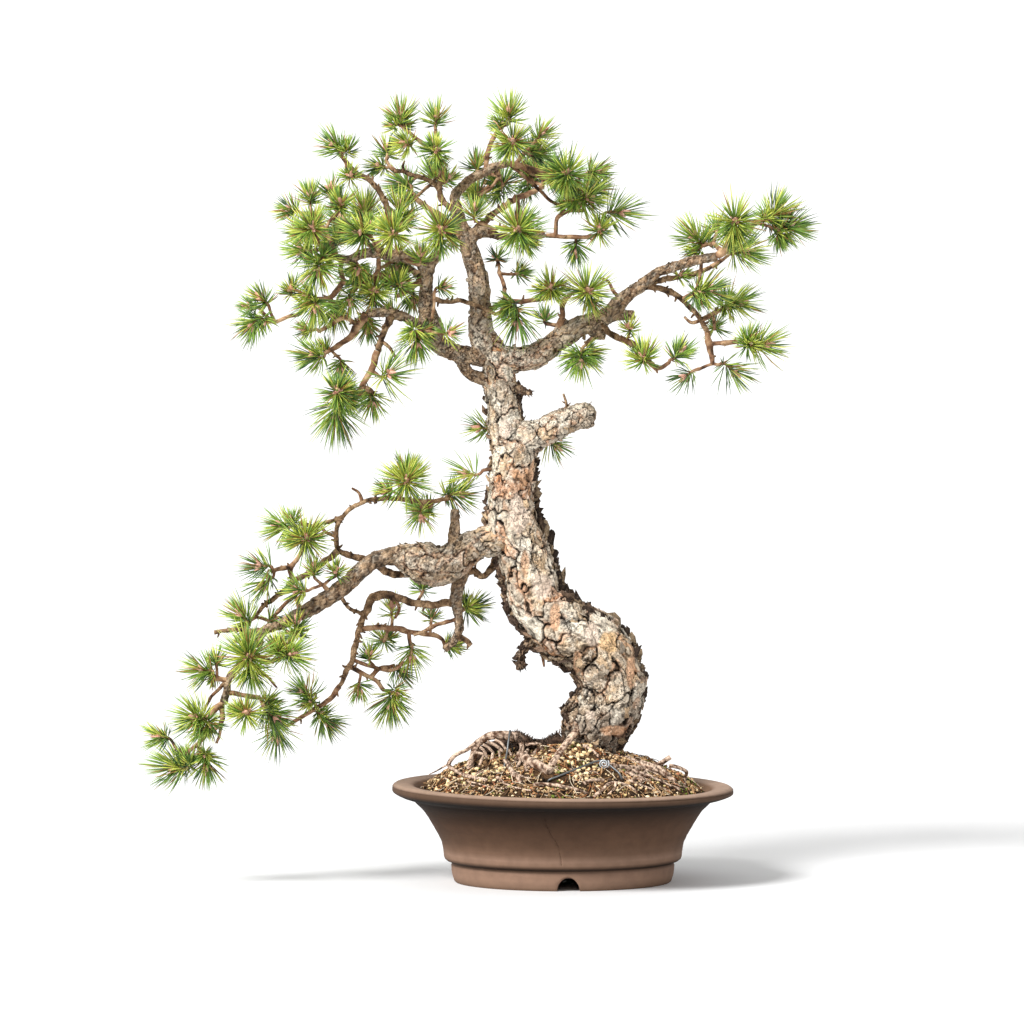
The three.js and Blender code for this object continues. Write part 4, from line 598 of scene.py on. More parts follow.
# Tie wires: the run (x, y, z) over the mound, between the two holes (x, y) in the pot's floor
WIRES = {
    "tie_wire_front": [
        (-6, -52), (-14, -90, 103), (-14.7, -97, 110.8), (-6, -96, 114.5), (2.7, -93, 117.8),
        (11.4, -86, 120.7), (20.2, -78, 123.4), (28.9, -72, 126.2), (35, -69, 127.6), (39.5, -69, 127.6),
        (43, -70, 125.6), (50, -74, 120.6), (56.5, -80, 114.6), (58, -80, 108), (50, -60),
    ],
    "tie_wire_root": [
        (-58, -60), (-58.5, -57, 122), (-56, -46, 134), (-54, -37, 148), (-53, -29, 154), (-52, -21, 150),
        (-50, -14, 132), (-44, -28),
    ],
}

FACING = {
    "front": (0.05, -1, 0.25), "front_up": (0, -0.75, 0.65), "front_left": (-0.6, -0.75, 0.2),
    "front_right": (0.6, -0.75, 0.2), "front_down": (0, -0.75, -0.6), "up": (0, -0.1, 1),
    "up_left": (-0.7, -0.1, 0.7), "up_right": (0.7, -0.1, 0.7), "left": (-1, -0.1, 0.12),
    "right": (1, -0.1, 0.12), "down": (0, -0.1, -1), "down_left": (-0.75, -0.1, -0.6),
    "down_right": (0.75, -0.1, -0.6), "back": (0, 1, 0.3), "back_up": (0, 0.7, 0.7),
    "back_left": (-0.7, 0.7, 0.2), "back_right": (0.7, 0.7, 0.2),
}


# Numbers
def unit(vectors):
    return vectors / np.maximum(np.linalg.norm(vectors, axis=-1, keepdims=True), 1e-12)


def blend(low, high, share):
    share = np.asarray(share)[..., None]
    return low + (high - low) * share


def smoothstep(low, high, values):
    share = np.clip((values - low) / (high - low), 0, 1)
    return share * share * (3 - 2 * share)


def hashed(x, y, z, seed):
    """A fixed number from 0 to 1 for each whole x, y and z."""
    mixed = (x * 374761393 + y * 668265263 + z * 1440662683 + seed * 974634777) & 0xFFFFFFFF
    mixed = ((mixed ^ (mixed >> 13)) * 1274126177) & 0xFFFFFFFF
    return ((mixed ^ (mixed >> 16)) & 0xFFFF) / 65535


def noise(points, size, seed=0):
    """Smooth noise from -1 to 1 with bumps of about that size."""
    places = np.asarray(points) / size
    corner = np.floor(places).astype(np.int64)
    share = places - corner
    share = share * share * (3 - 2 * share)
    total = np.zeros(len(places))
    for dx in (0, 1):
        for dy in (0, 1):
            for dz in (0, 1):
                weight = np.prod(np.where([dx, dy, dz], share, 1 - share), axis=1)
                total += weight * hashed(corner[:, 0] + dx, corner[:, 1] + dy, corner[:, 2] + dz, seed)
    return total * 2 - 1


def rough(points, size, seed=0):
    """Noise of three sizes together, each half the one before."""
    return sum(noise(points, size / 2**k, seed + 7 * k) / 2**k for k in range(3)) / 1.75


# Lines and tubes
def run_along(points):
    """How far along its line each point lies."""
    return np.concatenate([[0], np.cumsum(np.linalg.norm(np.diff(points, axis=0), axis=1))])


def skeleton(path, root=None):
    """Points (x, y, z, radius) of a front-view path, with its depth even between the given ones."""
    flat = np.array([point[:3] for point in path], dtype=float)
    known = [i for i, point in enumerate(path) if len(point) == 4]
    depths = [path[i][3] for i in known]
    if root is not None:
        flat[0, :2] = root[0], root[2]
        known = [0] + known
        depths = [root[1]] + depths
    run = run_along(flat[:, :2])
    depth = np.interp(run, run[known], depths)
    return np.column_stack([flat[:, 0], depth, flat[:, 1], flat[:, 2]])


def dense(line):
    """The straight stretches of a line at 20 steps each."""
    places = np.linspace(0, len(line) - 1, 20 * (len(line) - 1) + 1)
    return np.column_stack([np.interp(places, range(len(line)), line[:, k]) for k in range(line.shape[1])])


def root_on(line, x, z):
    points = dense(line)
    return points[np.argmin(np.hypot(points[:, 0] - x, points[:, 2] - z)), :3]


def nearest_on(line, target):
    points = dense(line)
    return points[np.argmin(np.linalg.norm(points[:, :3] - target, axis=1)), :3]


def curve(line, spacing):
    """A smooth curve through a line's points (x, y, z, radius), at even steps."""
    run = run_along(line[:, :3])
    slope = np.gradient(line[:, :3], run, axis=0)
    steps = max(2, int(round(run[-1] / spacing)))
    places = np.linspace(0, run[-1], steps + 1)
    i = np.clip(np.searchsorted(run, places, side="right") - 1, 0, len(run) - 2)
    length = (run[i + 1] - run[i])[:, None]
    s = (places - run[i])[:, None] / length
    points = (2 * s**3 - 3 * s**2 + 1) * line[i, :3] + (s**3 - 2 * s**2 + s) * length * slope[i]
    points += (3 * s**2 - 2 * s**3) * line[i + 1, :3] + (s**3 - s**2) * length * slope[i + 1]
    return np.column_stack([points, np.interp(places, run, line[:, 3])])


def axes_along(points):
    """For each point of a line: its direction and two axes square to it that turn as little as they can."""
    along = unit(np.gradient(points, axis=0))
    first = np.empty_like(points)
    normal = np.array([0.1, 1.0, 0.05])
    for i, direction in enumerate(along):
        normal = unit(normal - direction * normal.dot(direction))
        first[i] = normal
    return along, first, np.cross(along, first)


def around(first, second, i):
    """A direction square to a line at its point i, at a random turn."""
    angle = rng.uniform(0, 2 * math.pi)
    return math.cos(angle) * first[i] + math.sin(angle) * second[i]


def round_angles(count):
    return np.arange(count) * 2 * math.pi / count


def unrolled(line, sides):
    """Each tube vertex's place on the bark, drawn together along the limb, so that noise is streaked."""
    run = run_along(line[:, :3])
    angles = round_angles(sides)
    ring = np.column_stack([np.zeros(sides), np.cos(angles), np.sin(angles)])
    places = ring[None] * line[:, None, 3:] + 0.16 * run[:, None, None] * np.array([1, 0, 0])
    return np.vstack([places.reshape(-1, 3), places[0].mean(axis=0), places[-1].mean(axis=0)])


def tube(line, sides, relief=None):
    """Vertices and faces of a closed tube; relief gives a factor on the radius for each bare vertex."""
    points, radii = line[:, :3], line[:, 3]
    _, first, second = axes_along(points)
    angles = round_angles(sides)
    out = np.cos(angles)[None, :, None] * first[:, None] + np.sin(angles)[None, :, None] * second[:, None]
    out = out * radii[:, None, None]
    rings = points[:, None] + out
    if relief is not None:
        rings = points[:, None] + out * relief(rings.reshape(-1, 3)).reshape(len(points), sides, 1)
    vertices = np.vstack([rings.reshape(-1, 3), points[0], points[-1]])
    faces = []
    for i in range(len(points) - 1):
        for k in range(sides):
            a = i * sides + k
            b = i * sides + (k + 1) % sides
            faces.append((a, b, b + sides, a + sides))
    last = (len(points) - 1) * sides
    start, end = len(vertices) - 2, len(vertices) - 1
    for k in range(sides):
        faces.append((start, (k + 1) % sides, k))
        faces.append((end, last + k, last + (k + 1) % sides))
    return vertices, faces


# Meshes
class Patch:
    """Vertices in millimetres with a tint each, and faces with the number of their material."""

    def __init__(self):
        self.vertices = []
        self.tints = []
        self.faces = []
        self.materials = []
        self.count = 0

    def add(self, vertices, faces, tint, material=0):
        vertices = np.asarray(vertices, dtype=float)
        self.vertices.append(vertices)
        self.tints.append(np.broadcast_to(tint, (len(vertices), 3)))
        self.faces.extend([tuple(corner + self.count for corner in face) for face in faces])
        self.materials.extend([material] * len(faces))
        self.count += len(vertices)

    def add_tube(self, line, sides, tint, relief=None, material=0):
        """A tube; its tint is one colour, or a function that gives the colours of its vertices."""
        vertices, faces = tube(line, sides, relief)
        self.add(vertices, faces, tint(vertices) if callable(tint) else tint, material)


def tree_of(points):
    """Finds the nearest of these points."""
    tree = KDTree(len(points))
    for i, point in enumerate(points):
        tree.insert(point, i)
    tree.balance()
    return tree


def to_mesh(name, vertices, faces):
    mesh = bpy.data.meshes.new(name)
    mesh.from_pydata((np.asarray(vertices) * MM + POT_MIDDLE).tolist(), [], faces)
    mesh.validate()
    return mesh


def placed(name, data):
    """A new object of the scene."""
    obj = bpy.data.objects.new(name, data)
    bpy.context.collection.objects.link(obj)
    return obj


def build(name, patch, materials, nodes, smooth=True):
    """Makes a piece of the object from a patch, in place of the CAD nodes."""
    vertices = np.vstack(patch.vertices)
    mesh = to_mesh(name, vertices, patch.faces)
    mesh.polygons.foreach_set("use_smooth", [smooth] * len(mesh.polygons))
    mesh.polygons.foreach_set("material_index", patch.materials)
    tint = mesh.color_attributes.new("Tint", "FLOAT_COLOR", "POINT")
    colours = np.column_stack([np.vstack(patch.tints), np.ones(len(vertices))])
    tint.data.foreach_set("color", colours.ravel())
    for material in materials:
        mesh.materials.append(material)
    piece = placed(name, mesh)
    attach(piece, "root")
    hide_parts(*nodes)


def evaluated(obj):
    """The vertices (mm), normals and faces of an object with its modifiers on; the object is removed."""
    depsgraph = bpy.context.evaluated_depsgraph_get()
    mesh = bpy.data.meshes.new_from_object(obj.evaluated_get(depsgraph))
    vertices = np.empty(len(mesh.vertices) * 3)
    mesh.vertices.foreach_get("co", vertices)
    normals = np.empty(len(mesh.vertices) * 3)
    mesh.vertex_normals.foreach_get("vector", normals)
    faces = [tuple(polygon.vertices) for polygon in mesh.polygons]
    bpy.data.objects.remove(obj)
    bpy.data.meshes.remove(mesh)
    return (vertices.reshape(-1, 3) - POT_MIDDLE) / MM, normals.reshape(-1, 3), faces


def remeshed(patch, voxel):
    """One even skin round all the tubes of a patch."""
    obj = placed("skin", to_mesh("skin", np.vstack(patch.vertices), patch.faces))
    modifier = obj.modifiers.new("skin", "REMESH")
    modifier.mode = "VOXEL"
    modifier.voxel_size = voxel * MM
    return evaluated(obj)


# Materials
class Graph:
    """A material and its nodes, round one Principled shader."""

    def __init__(self, name, **values):
        self.material = bpy.data.materials.new(name)
        self.material.use_nodes = True
        self.tree = self.material.node_tree
        self.skin = self.tree.nodes["Principled BSDF"]
        self.fill(self.skin, values)

    def put(self, socket, value):
        if isinstance(value, bpy.types.NodeSocket):
            self.tree.links.new(value, socket)
        else:
            socket.default_value = value

    def fill(self, node, values):
        """Sets a node's inputs, whose names have a capital and _ for a space, and its settings."""
        for name, value in values.items():
            if name[0].isupper():
                self.put(node.inputs[name.replace("_", " ")], value)
            else:
                setattr(node, name, value)

    def add(self, kind, output, **values):
        """A new node's output; a value is a number or another node's output."""
        node = self.tree.nodes.new("ShaderNode" + kind)
        self.fill(node, values)
        return node.outputs[output]

    def math(self, operation, *sources):
        output = self.add("Math", "Value", operation=operation)
        for socket, source in zip(output.node.inputs, sources):
            self.put(socket, source)
        return output

    def place(self):
        return self.add("TexCoord", "Object")

    def noise(self, scale, detail, roughness=0.5, place=None):
        place = place or self.place()
        return self.add("TexNoise", "Fac", Vector=place, Scale=scale, Detail=detail, Roughness=roughness)

    def ranged(self, source, low, high, start, end, **settings):
        ends = {"From_Min": low, "From_Max": high, "To_Min": start, "To_Max": end}
        return self.add("MapRange", "Result", Value=source, **ends, **settings)

    def bump(self, height, strength, depth, **under):
        return self.add("Bump", "Normal", Height=height, Strength=strength, Distance=depth * MM, **under)


def shader(name, roughness, tint_noise, grain, bump=0, bump_grain=900, depth=0.4, coarse=None, **values):
    """A material in the mesh's tint, made lighter and darker by a fine grain, with a fine relief.

    coarse(graph) gives a factor on the colour and the normal of a coarser relief.
    """
    graph = Graph(name, Roughness=roughness, **values)
    bright = graph.ranged(graph.noise(grain, 5), 0.3, 0.7, 1 - tint_noise, 1 + tint_noise)
    under = {}
    if coarse:
        factor, under["Normal"] = coarse(graph)
        bright = graph.math("MULTIPLY", factor, bright)
    tint = graph.add("VertexColor", "Color", layer_name="Tint")
    colour = graph.add("VectorMath", "Vector", operation="SCALE", Vector=tint, Scale=bright)
    graph.fill(graph.skin, {"Base_Color": colour})
    if bump:
        graph.fill(graph.skin, {"Normal": graph.bump(graph.noise(bump_grain, 4), bump, depth, **under)})
    return graph.material


def thin_layers(size, count, dark, depth):
    """The broken edges of thin layers: contour lines of a noise, each a small step down, with painted shade
    at the foot of the step and a painted highlight along its top edge.
    """
    def coarse(graph):
        soft = {"interpolation_type": "SMOOTHSTEP"}
        layers = graph.math("FRACT", graph.math("MULTIPLY", graph.noise(1 / (size * MM), 5, 0.58), count))
        shown = graph.ranged(graph.noise(0.6 / (size * MM), 3), 0.4, 0.6, 0.25, 1, **soft)
        # Painted shade at the foot of each step, and a painted highlight at its top edge
        edge = graph.math("MULTIPLY", graph.ranged(layers, 0.06, 0.26, dark, 0, **soft), shown)
        painted_lip_highlight = graph.math("MULTIPLY", graph.ranged(layers, 0.75, 1.0, 0, 0.22, **soft), shown)
        bright = graph.math("ADD", graph.math("SUBTRACT", 1.0, edge), painted_lip_highlight)
        return bright, graph.bump(layers, 0.9, depth)

    return coarse


def turned_rings(graph):
    """The soft level lines that turning leaves in clay."""
    squeezed = graph.add("Mapping", "Vector", Vector=graph.place(), Scale=(1, 1, 22))
    return 1, graph.bump(graph.noise(16, 4, place=squeezed), 0.45, 0.7)


bark_material = shader(
    "bark", 0.92, 0.28, 420, 0.9, 700, 0.8, thin_layers(20, 13, 0.95, 1.5), Specular_IOR_Level=0.15
)
branch_material = shader(
    "branch_bark", 0.9, 0.28, 600, 0.9, 900, 0.7, thin_layers(9, 10, 0.9, 1.1), Specular_IOR_Level=0.15
)
root_material = shader(
    "root_bark", 0.9, 0.22, 700, 0.8, 900, 0.5, thin_layers(9, 9, 0.6, 0.6), Specular_IOR_Level=0.15
)
needle_material = shader("needles", 0.42, 0.08, 500, Specular_IOR_Level=0.45)
shoot_material = shader("shoot_bark", 0.85, 0.25, 900, 0.6, 1400, 0.4, Specular_IOR_Level=0.25)
bud_material = shader("buds", 0.6, 0.15, 1500, 0.4, 2200, 0.3)
soil_material = shader("soil", 0.98, 0.55, 380, 1.0, 600, 1.2, Specular_IOR_Level=0.1)
grain_material = shader("soil_grains", 0.95, 0.25, 700, 0.7, 1100, 0.5, Specular_IOR_Level=0.15)
wire_material = shader("wire", 0.45, 0.12, 900, 0.2, 1500, 0.1, Metallic=0.75)
# A lighter, less metallic copy of the wire: a painted highlight on the coiled end
coil_painted_highlight_material = shader("wire_end_painted_highlight", 0.4, 0.12, 900, Metallic=0.3)
clay_material = shader("pot_clay", 0.72, 0.09, 90, 0.3, 1900, 0.1, turned_rings, Specular_IOR_Level=0.12)
crack_material = shader("crack_shadow", 0.95, 0.3, 900, Specular_IOR_Level=0.1)


# Wood: the limbs of the CAD, with smooth bends
lines = {}
for limb_name, (parent_name, limb_path) in LIMBS.items():
    limb_root = root_on(lines[parent_name], *limb_path[0][:2]) if parent_name else None
    lines[limb_name] = skeleton(limb_path, limb_root)
root_lines = [np.array(path, dtype=float) for path in ROOTS]


class Grain:
    """What bark follows: for each place on the wood, the limb whose surface is nearest."""

    def __init__(self, limbs):
        rows = []
        for number, line in enumerate(limbs):
            fine = curve(line, 2.5)
            along, first, second = axes_along(fine[:, :3])
            cell = self.cell_size(fine)
            run = np.cumsum(2.5 / cell) + 500 * number
            rows.append(np.column_stack([fine, along, first, second, run]))
        self.rows = np.vstack(rows)

    @staticmethod
    def cell_size(rows):
        """Larger plates on thick limbs, and small scales again at the foot of the trunk."""
        return np.clip(0.33 * rows[:, 3] + 2.2, 3.2, 12) * (1 - 0.5 * smoothstep(185, 140, rows[:, 2]))

    def nearest(self, vertices):
        """The number of the row for each vertex, a part of the vertices at a time."""
        found = []
        centres, radii = self.rows[:, :3], self.rows[:, 3]
        for start in range(0, len(vertices), 6000):
            part = vertices[start:start + 6000]
            square = np.sum(part**2, axis=1)[:, None] + np.sum(centres**2, axis=1) - 2 * part @ centres.T
            found.append(np.argmin(np.sqrt(np.maximum(square, 0)) - radii, axis=1))
        return np.concatenate(found)

    def at(self, vertices):
        """Place in plates (along the limb, and two ways across), and the limb's radius, for each vertex."""
        rows = self.rows[self.nearest(vertices)]
        offset = vertices - rows[:, :3]
        cell = self.cell_size(rows)
        ahead = np.sum(offset * rows[:, 4:7], axis=1) / cell
        across = np.sum(offset * rows[:, 7:10], axis=1) / cell
        aside = np.sum(offset * rows[:, 10:13], axis=1) / cell
        return np.column_stack([(rows[:, 13] + ahead) * 0.72, across, aside]), rows[:, 3]


def scattered(points, gap):
    """Numbers of some of the points, none nearer to another than the gap."""
    kept = np.empty((0, 3))
    numbers = []
    for i in rng.permutation(len(points))[:30000]:
        if len(kept) == 0 or np.min(np.sum((kept - points[i]) ** 2, axis=1)) > gap * gap:
            kept = np.vstack([kept, points[i]])
            numbers.append(i)
    return np.array(numbers)


def plates(places, size, seed):
    """Each place's level on its sloping plate, its distance to the plate's edge, and the plate's lot."""
    wave = np.column_stack([rough(places, 1.3 * size, seed + k) for k in range(3)])
    jagged = np.column_stack([noise(places, 0.28 * size, seed + 20 + k) for k in range(3)])
    warped = (places + 0.75 * size * wave + 0.13 * size * jagged) / size
    seeds = warped[scattered(warped, 0.8)]
    tree = tree_of(seeds)
    near = [tree.find_n(place, 2) for place in warped]
    first = np.array([hits[0][1] for hits in near])
    edge = np.array([hits[1][2] - hits[0][2] for hits in near])
    level, lot = rng.random((2, len(seeds)))
    lean = unit(rng.normal(size=(len(seeds), 3)))[first]
    slope = np.sum((warped - seeds[first]) * lean, axis=1)
    return level[first] + 1.2 * slope, edge, lot[first]


def layered(places, size, seed, steps=4):
    """Noise cut into steps, as where thin layers of bark broke off, and the share of the way up a step."""
    wave = np.column_stack([noise(places, 0.8 * size, seed + k) for k in range(3)])
    height = (rough(places + 0.5 * size * wave, size, seed) * 0.5 + 0.5) * steps
    whole = np.floor(height)
    share = height - whole
    return (whole + smoothstep(0.8, 1, share)) / steps, share


def bare_share(vertices):
    """How bare each place on the front is, and the colour of the bare wood there."""
    share = np.zeros(len(vertices))
    colour = np.tile(BARE_SALMON, (len(vertices), 1))
    for x, z, wide, high, tone in BARE_PLACES:
        reach = np.hypot((vertices[:, 0] - x) / wide, (vertices[:, 2] - z) / high)
        ragged = reach + 0.25 * rough(vertices, 7, 27)
        inside = smoothstep(1.15, 0.85, ragged) * smoothstep(2, -6, vertices[:, 1])
        colour = np.where((inside > share)[:, None], tone, colour)
        share = np.maximum(share, inside)
    return share, colour


def bark_tint(vertices, radius, height, large, small, layer_share):
    """Grey, tan and pale plates with orange edges and dark cracks, browner on thin limbs and at the foot;
    the cracks are partly painted shade, with painted shade at the foot of each layer's step and painted
    highlights on raised plates, on plate rims and on the top edges of layers.
    """
    cascade = smoothstep(-75, -115, vertices[:, 0]) * smoothstep(430, 390, vertices[:, 2])
    thick = smoothstep(8, 15, radius) * (1 - 0.4 * cascade)
    large_edge, large_lot = large
    small_edge, small_lot = small
    tint = PLATE_COLOURS[np.searchsorted(PLATE_SHARES, large_lot)]
    tint = blend(tint, PLATE_COLOURS[np.searchsorted(PLATE_SHARES, small_lot)], 0.4)
    # Raised plates paler: partly the weathered grey of old bark, partly a painted highlight
    outer = smoothstep(0.3, 0.75, height + 0.15 * rough(vertices, 14, 5))
    tint = blend(tint, PLATE_PALE, 0.6 * outer * smoothstep(-0.3, 0.3, rough(vertices, 7, 13)))
    tint = blend(tint, PLATE_DARK, 0.5 * smoothstep(0.05, 0.55, -rough(vertices, 4, 14)))
    beside = smoothstep(0.34, 0.16, large_edge) * smoothstep(-0.1, 0.25, rough(vertices, 13, 16))
    tint = blend(tint, PLATE_ORANGE, 0.6 * beside)
    tint = blend(tint, FOOT_BROWN, 0.72 * smoothstep(190, 138, vertices[:, 2]))
    low = 0.1 * smoothstep(285, 225, vertices[:, 2]) + 0.25 * smoothstep(165, 132, vertices[:, 2])
    tint = tint * (1 - low - 0.15 * cascade)[:, None]
    tint = blend(tint, branch_tint(vertices, BRANCH_DARK, BRANCH_BROWN, BRANCH_TAN, 17), 0.85 * (1 - thick))
    # A painted highlight on the top edge of each layer's step
    painted_lip_highlight = smoothstep(0.2, 0.02, layer_share)
    tint = blend(tint, PLATE_PALE, 0.5 * painted_lip_highlight * (0.35 + 0.65 * thick))
    bare, bare_colour = bare_share(vertices)
    tint = blend(tint, bare_colour, 0.85 * bare)
    # Painted shade: a dark line at the foot of each layer's step
    line = smoothstep(0.6, 0.74, layer_share) * smoothstep(0.96, 0.84, layer_share)
    line *= smoothstep(-0.3, 0.2, rough(vertices, 9, 23)) * (1 - 0.5 * bare)
    sunken = smoothstep(0.7, 0.35, height)
    # A painted highlight on the raised side of each plate's rim
    rim = smoothstep(0.3, 0.12, large_edge) * (1 - sunken)
    tint = blend(tint, PLATE_PALE, 0.3 * rim)
    # Dark cracks, partly the bark's own dark and partly painted shade, darker on the sunken side
    crack = smoothstep(0.125, 0.07, large_edge) * smoothstep(-0.7, -0.3, rough(vertices, 12, 24))
    crack *= 0.5 + 0.5 * sunken
    fine = smoothstep(0.14, 0.07, small_edge) * smoothstep(-0.1, 0.2, rough(vertices, 10, 25))
    fine *= 0.3 + 0.7 * sunken
    dark = np.maximum(np.maximum(crack * (1 - 0.8 * bare), 0.8 * fine * (1 - bare)), 0.85 * line)
    return blend(tint, DARK_BARK_AND_CRACK_SHADE, dark * (0.75 + 0.25 * thick))


def make_thick_wood(name, limbs):
    limb_lines = [lines[limb] for limb in limbs]
    patch = Patch()
    for line in limb_lines:
        patch.add_tube(curve(line, 3), 28, (0, 0, 0))
    vertices, normals, faces = remeshed(patch, BARK_VOXELS[name])
    places, radius = Grain(limb_lines).at(vertices)
    large, large_edge, large_lot = plates(places, 1.7, 300)
    small, small_edge, small_lot = plates(places, 0.65, 340)
    layer, layer_share = layered(places, 1.0, 380)
    height = 0.42 * large + 0.18 * small + 0.46 * layer
    raised = smoothstep(0.45, 0.75, height)
    grooves = 0.42 * smoothstep(0.11, 0.02, large_edge) + 0.18 * smoothstep(0.13, 0.02, small_edge)
    height -= (1 - 0.45 * raised) * grooves
    height += (0.3 - height) * 0.6 * bare_share(vertices)[0]
    swell = 0.09 * radius * rough(vertices, 16, 410)
    amount = 0.18 * radius + 1.2
    moved = vertices + normals * (amount * (height - 0.38) + swell)[:, None]
    tint = bark_tint(vertices, radius, height, (large_edge, large_lot), (small_edge, small_lot), layer_share)
    skin = Patch()
    skin.add(moved, faces, tint)
    build(name, skin, [bark_material], ["tree_wood"])


def limb_axes(limb):
    """A limb's points a millimetre apart, and its three axes at each."""
    fine = curve(lines[limb], 1)
    return fine, *axes_along(fine[:, :3])


def add_scattered_flakes(patch):
    """Small flakes that lie all round a limb, turned any way."""
    for limb, count in FLAKES.items():
        fine, along, first, second = limb_axes(limb)
        for i in rng.integers(3, len(fine) - 3, count):
            out = around(first, second, i)
            aside = np.cross(along[i], out)
            radius = fine[i, 3]
            size = (0.06 + 0.1 * rng.random() ** 2) * radius + 1.3
            turn = rng.uniform(0, 2 * math.pi)
            ahead = math.cos(turn) * along[i] + math.sin(turn) * aside
            add_flake(patch, fine[i, :3] + out * (0.99 * radius), ahead, np.cross(out, ahead), out, size)


def add_ragged_stubs(patch):
    """Shreds that stand off the broken stubs."""
    for limb, count in RAGGED.items():
        fine, along, first, second = limb_axes(limb)
        for i in rng.integers(len(fine) // 3, len(fine) - 1, count):
            out = around(first, second, i)
            ahead = unit(along[i] + 0.5 * rng.normal(size=3))
            across = unit(out - ahead * out.dot(ahead))
            foot = fine[i, :3] + (fine[i, 3] + 0.3) * out
            tint = SHARD_COLOURS[rng.integers(3)]
            add_flake(patch, foot, ahead, across, np.cross(ahead, across), rng.uniform(1.4, 3.6), 1.7, tint)


def add_shards(patch):
    """Ragged shards that stand out along the trunk's left and right outlines."""
    fine, along, _, _ = limb_axes("trunk")
    for low, high, side, count, largest in SHARDS:
        rows = np.flatnonzero((fine[:, 2] > low) & (fine[:, 2] < high))
        for i in rng.choice(rows, count):
            out = unit(np.array([side, rng.normal(0.1, 0.2), rng.normal(0, 0.15)]))
            out = unit(out - along[i] * out.dot(along[i]))
            aside = np.cross(along[i], out)
            foot = fine[i, :3] + out * (1.04 * fine[i, 3] + 0.6)
            ahead = unit(along[i] + 0.5 * rng.normal() * aside + rng.uniform(0, 0.5) * out)
            size = 1.6 + (largest - 1.2) * rng.random() ** 1.3
            add_flake(patch, foot, ahead, out, aside, size, 1.9, SHARD_COLOURS[rng.integers(4)])


def make_flakes():
    """Thin curled flakes of bark that stand off the trunk and its thick limbs."""
    patch = Patch()
    add_scattered_flakes(patch)
    add_ragged_stubs(patch)
    add_shards(patch)
    build("bark_flakes", patch, [bark_material], ["tree_wood"])


def add_flake(patch, foot, ahead, across, out, size, slim=1.5, tint=None):
    """A thin ragged flake, curled away from the bark, with painted shade on its underside; slim is its
    length for its width.
    """
    corners = 9
    lift = rng.uniform(0.1, 0.8)
    curl = rng.uniform(0.15, 0.6)
    length = rng.uniform(0.8, 1.25) * slim
    points = []
    for step in range(corners):
        angle = 2 * math.pi * step / corners + rng.normal(0, 0.12)
        reach = size * rng.uniform(0.3, 1.3)
        points.append((length * reach * math.cos(angle), reach * math.sin(angle)))
    points.append((0, 0))
    flat = np.array(points)
    rise = lift * (flat[:, 1] + 0.4 * size) + curl * flat[:, 1] ** 2 / size - 0.15 * flat[:, 0] ** 2 / size
    top = foot + flat[:, :1] * ahead + flat[:, 1:] * across + rise[:, None] * out
    bottom = top - out * 0.6
    below = corners + 1
    faces = []
    for k in range(corners):
        after = (k + 1) % corners
        faces += [(corners, k, after), (corners + below, below + after, below + k)]
        faces.append((k, below + k, below + after, after))
    tint = FLAKE_COLOURS[rng.integers(len(FLAKE_COLOURS))] if tint is None else tint
    # The underside is painted in shade, at under half the colour of the top
    tints = np.vstack([np.tile(tint, (below, 1)), np.tile(0.45 * tint, (below, 1))])
    patch.add(np.vstack([top, bottom]), faces, tints * rng.uniform(0.6, 1.05))


def branch_relief(seed, amount=0.28):
    """Scales, swellings and knots of a branch, as a factor on its radius."""
    def relief(points):
        knots = smoothstep(0.3, 0.85, noise(points, 9, seed + 1))
        scales = layered(points, 5, seed + 2)[0] - 0.5
        return 1 + amount * rough(points, 5, seed) + 0.3 * knots + amount * scales

    return relief


def branch_tint(vertices, dark, middle, light, seed):
    """Mottled with a darker and a lighter colour."""
    patches = rough(vertices, 5, seed)
    tint = blend(middle, light, smoothstep(-0.1, 0.5, patches))
    return blend(tint, dark, smoothstep(0.05, 0.5, -patches))


def gnarled(line, amount):
    """A line with small kinks, a share of its radius."""
    kinks = np.column_stack([noise(line[:, :3], 8, 60 + k) for k in range(3)])
    fade = np.minimum(1, np.arange(len(line)) / 5)[:, None]
    line = line.copy()
    line[:, :3] += amount * fade * line[:, 3:] * kinks
    return line


def add_spurs(patch, line, gap, material=0):
    """Short dead stubs of twigs and bud scars along a limb, about one for each gap in mm."""
    if len(line) <= 4:
        return
    along, first, second = axes_along(line[:, :3])
    for i in rng.integers(2, len(line) - 1, int(run_along(line[:, :3])[-1] / gap)):
        out = around(first, second, i)
        lean = unit(out + rng.uniform(0.1, 1.0) * along[i])
        reach = rng.uniform(1.2, 4.5)
        foot = line[i, :3] + 0.5 * line[i, 3] * out
        tip = foot + lean * (0.5 * line[i, 3] + reach)
        middle = (foot + tip) / 2 + rng.normal(0, 0.4, 3)
        thick = min(1.3, 0.5 * line[i, 3])
        stub = np.array([[*foot, thick * 1.2], [*middle, thick], [*tip, 0.6 * thick]])
        patch.add_tube(stub, 5, BRANCH_BROWN * rng.uniform(0.6, 1.25), material=material)


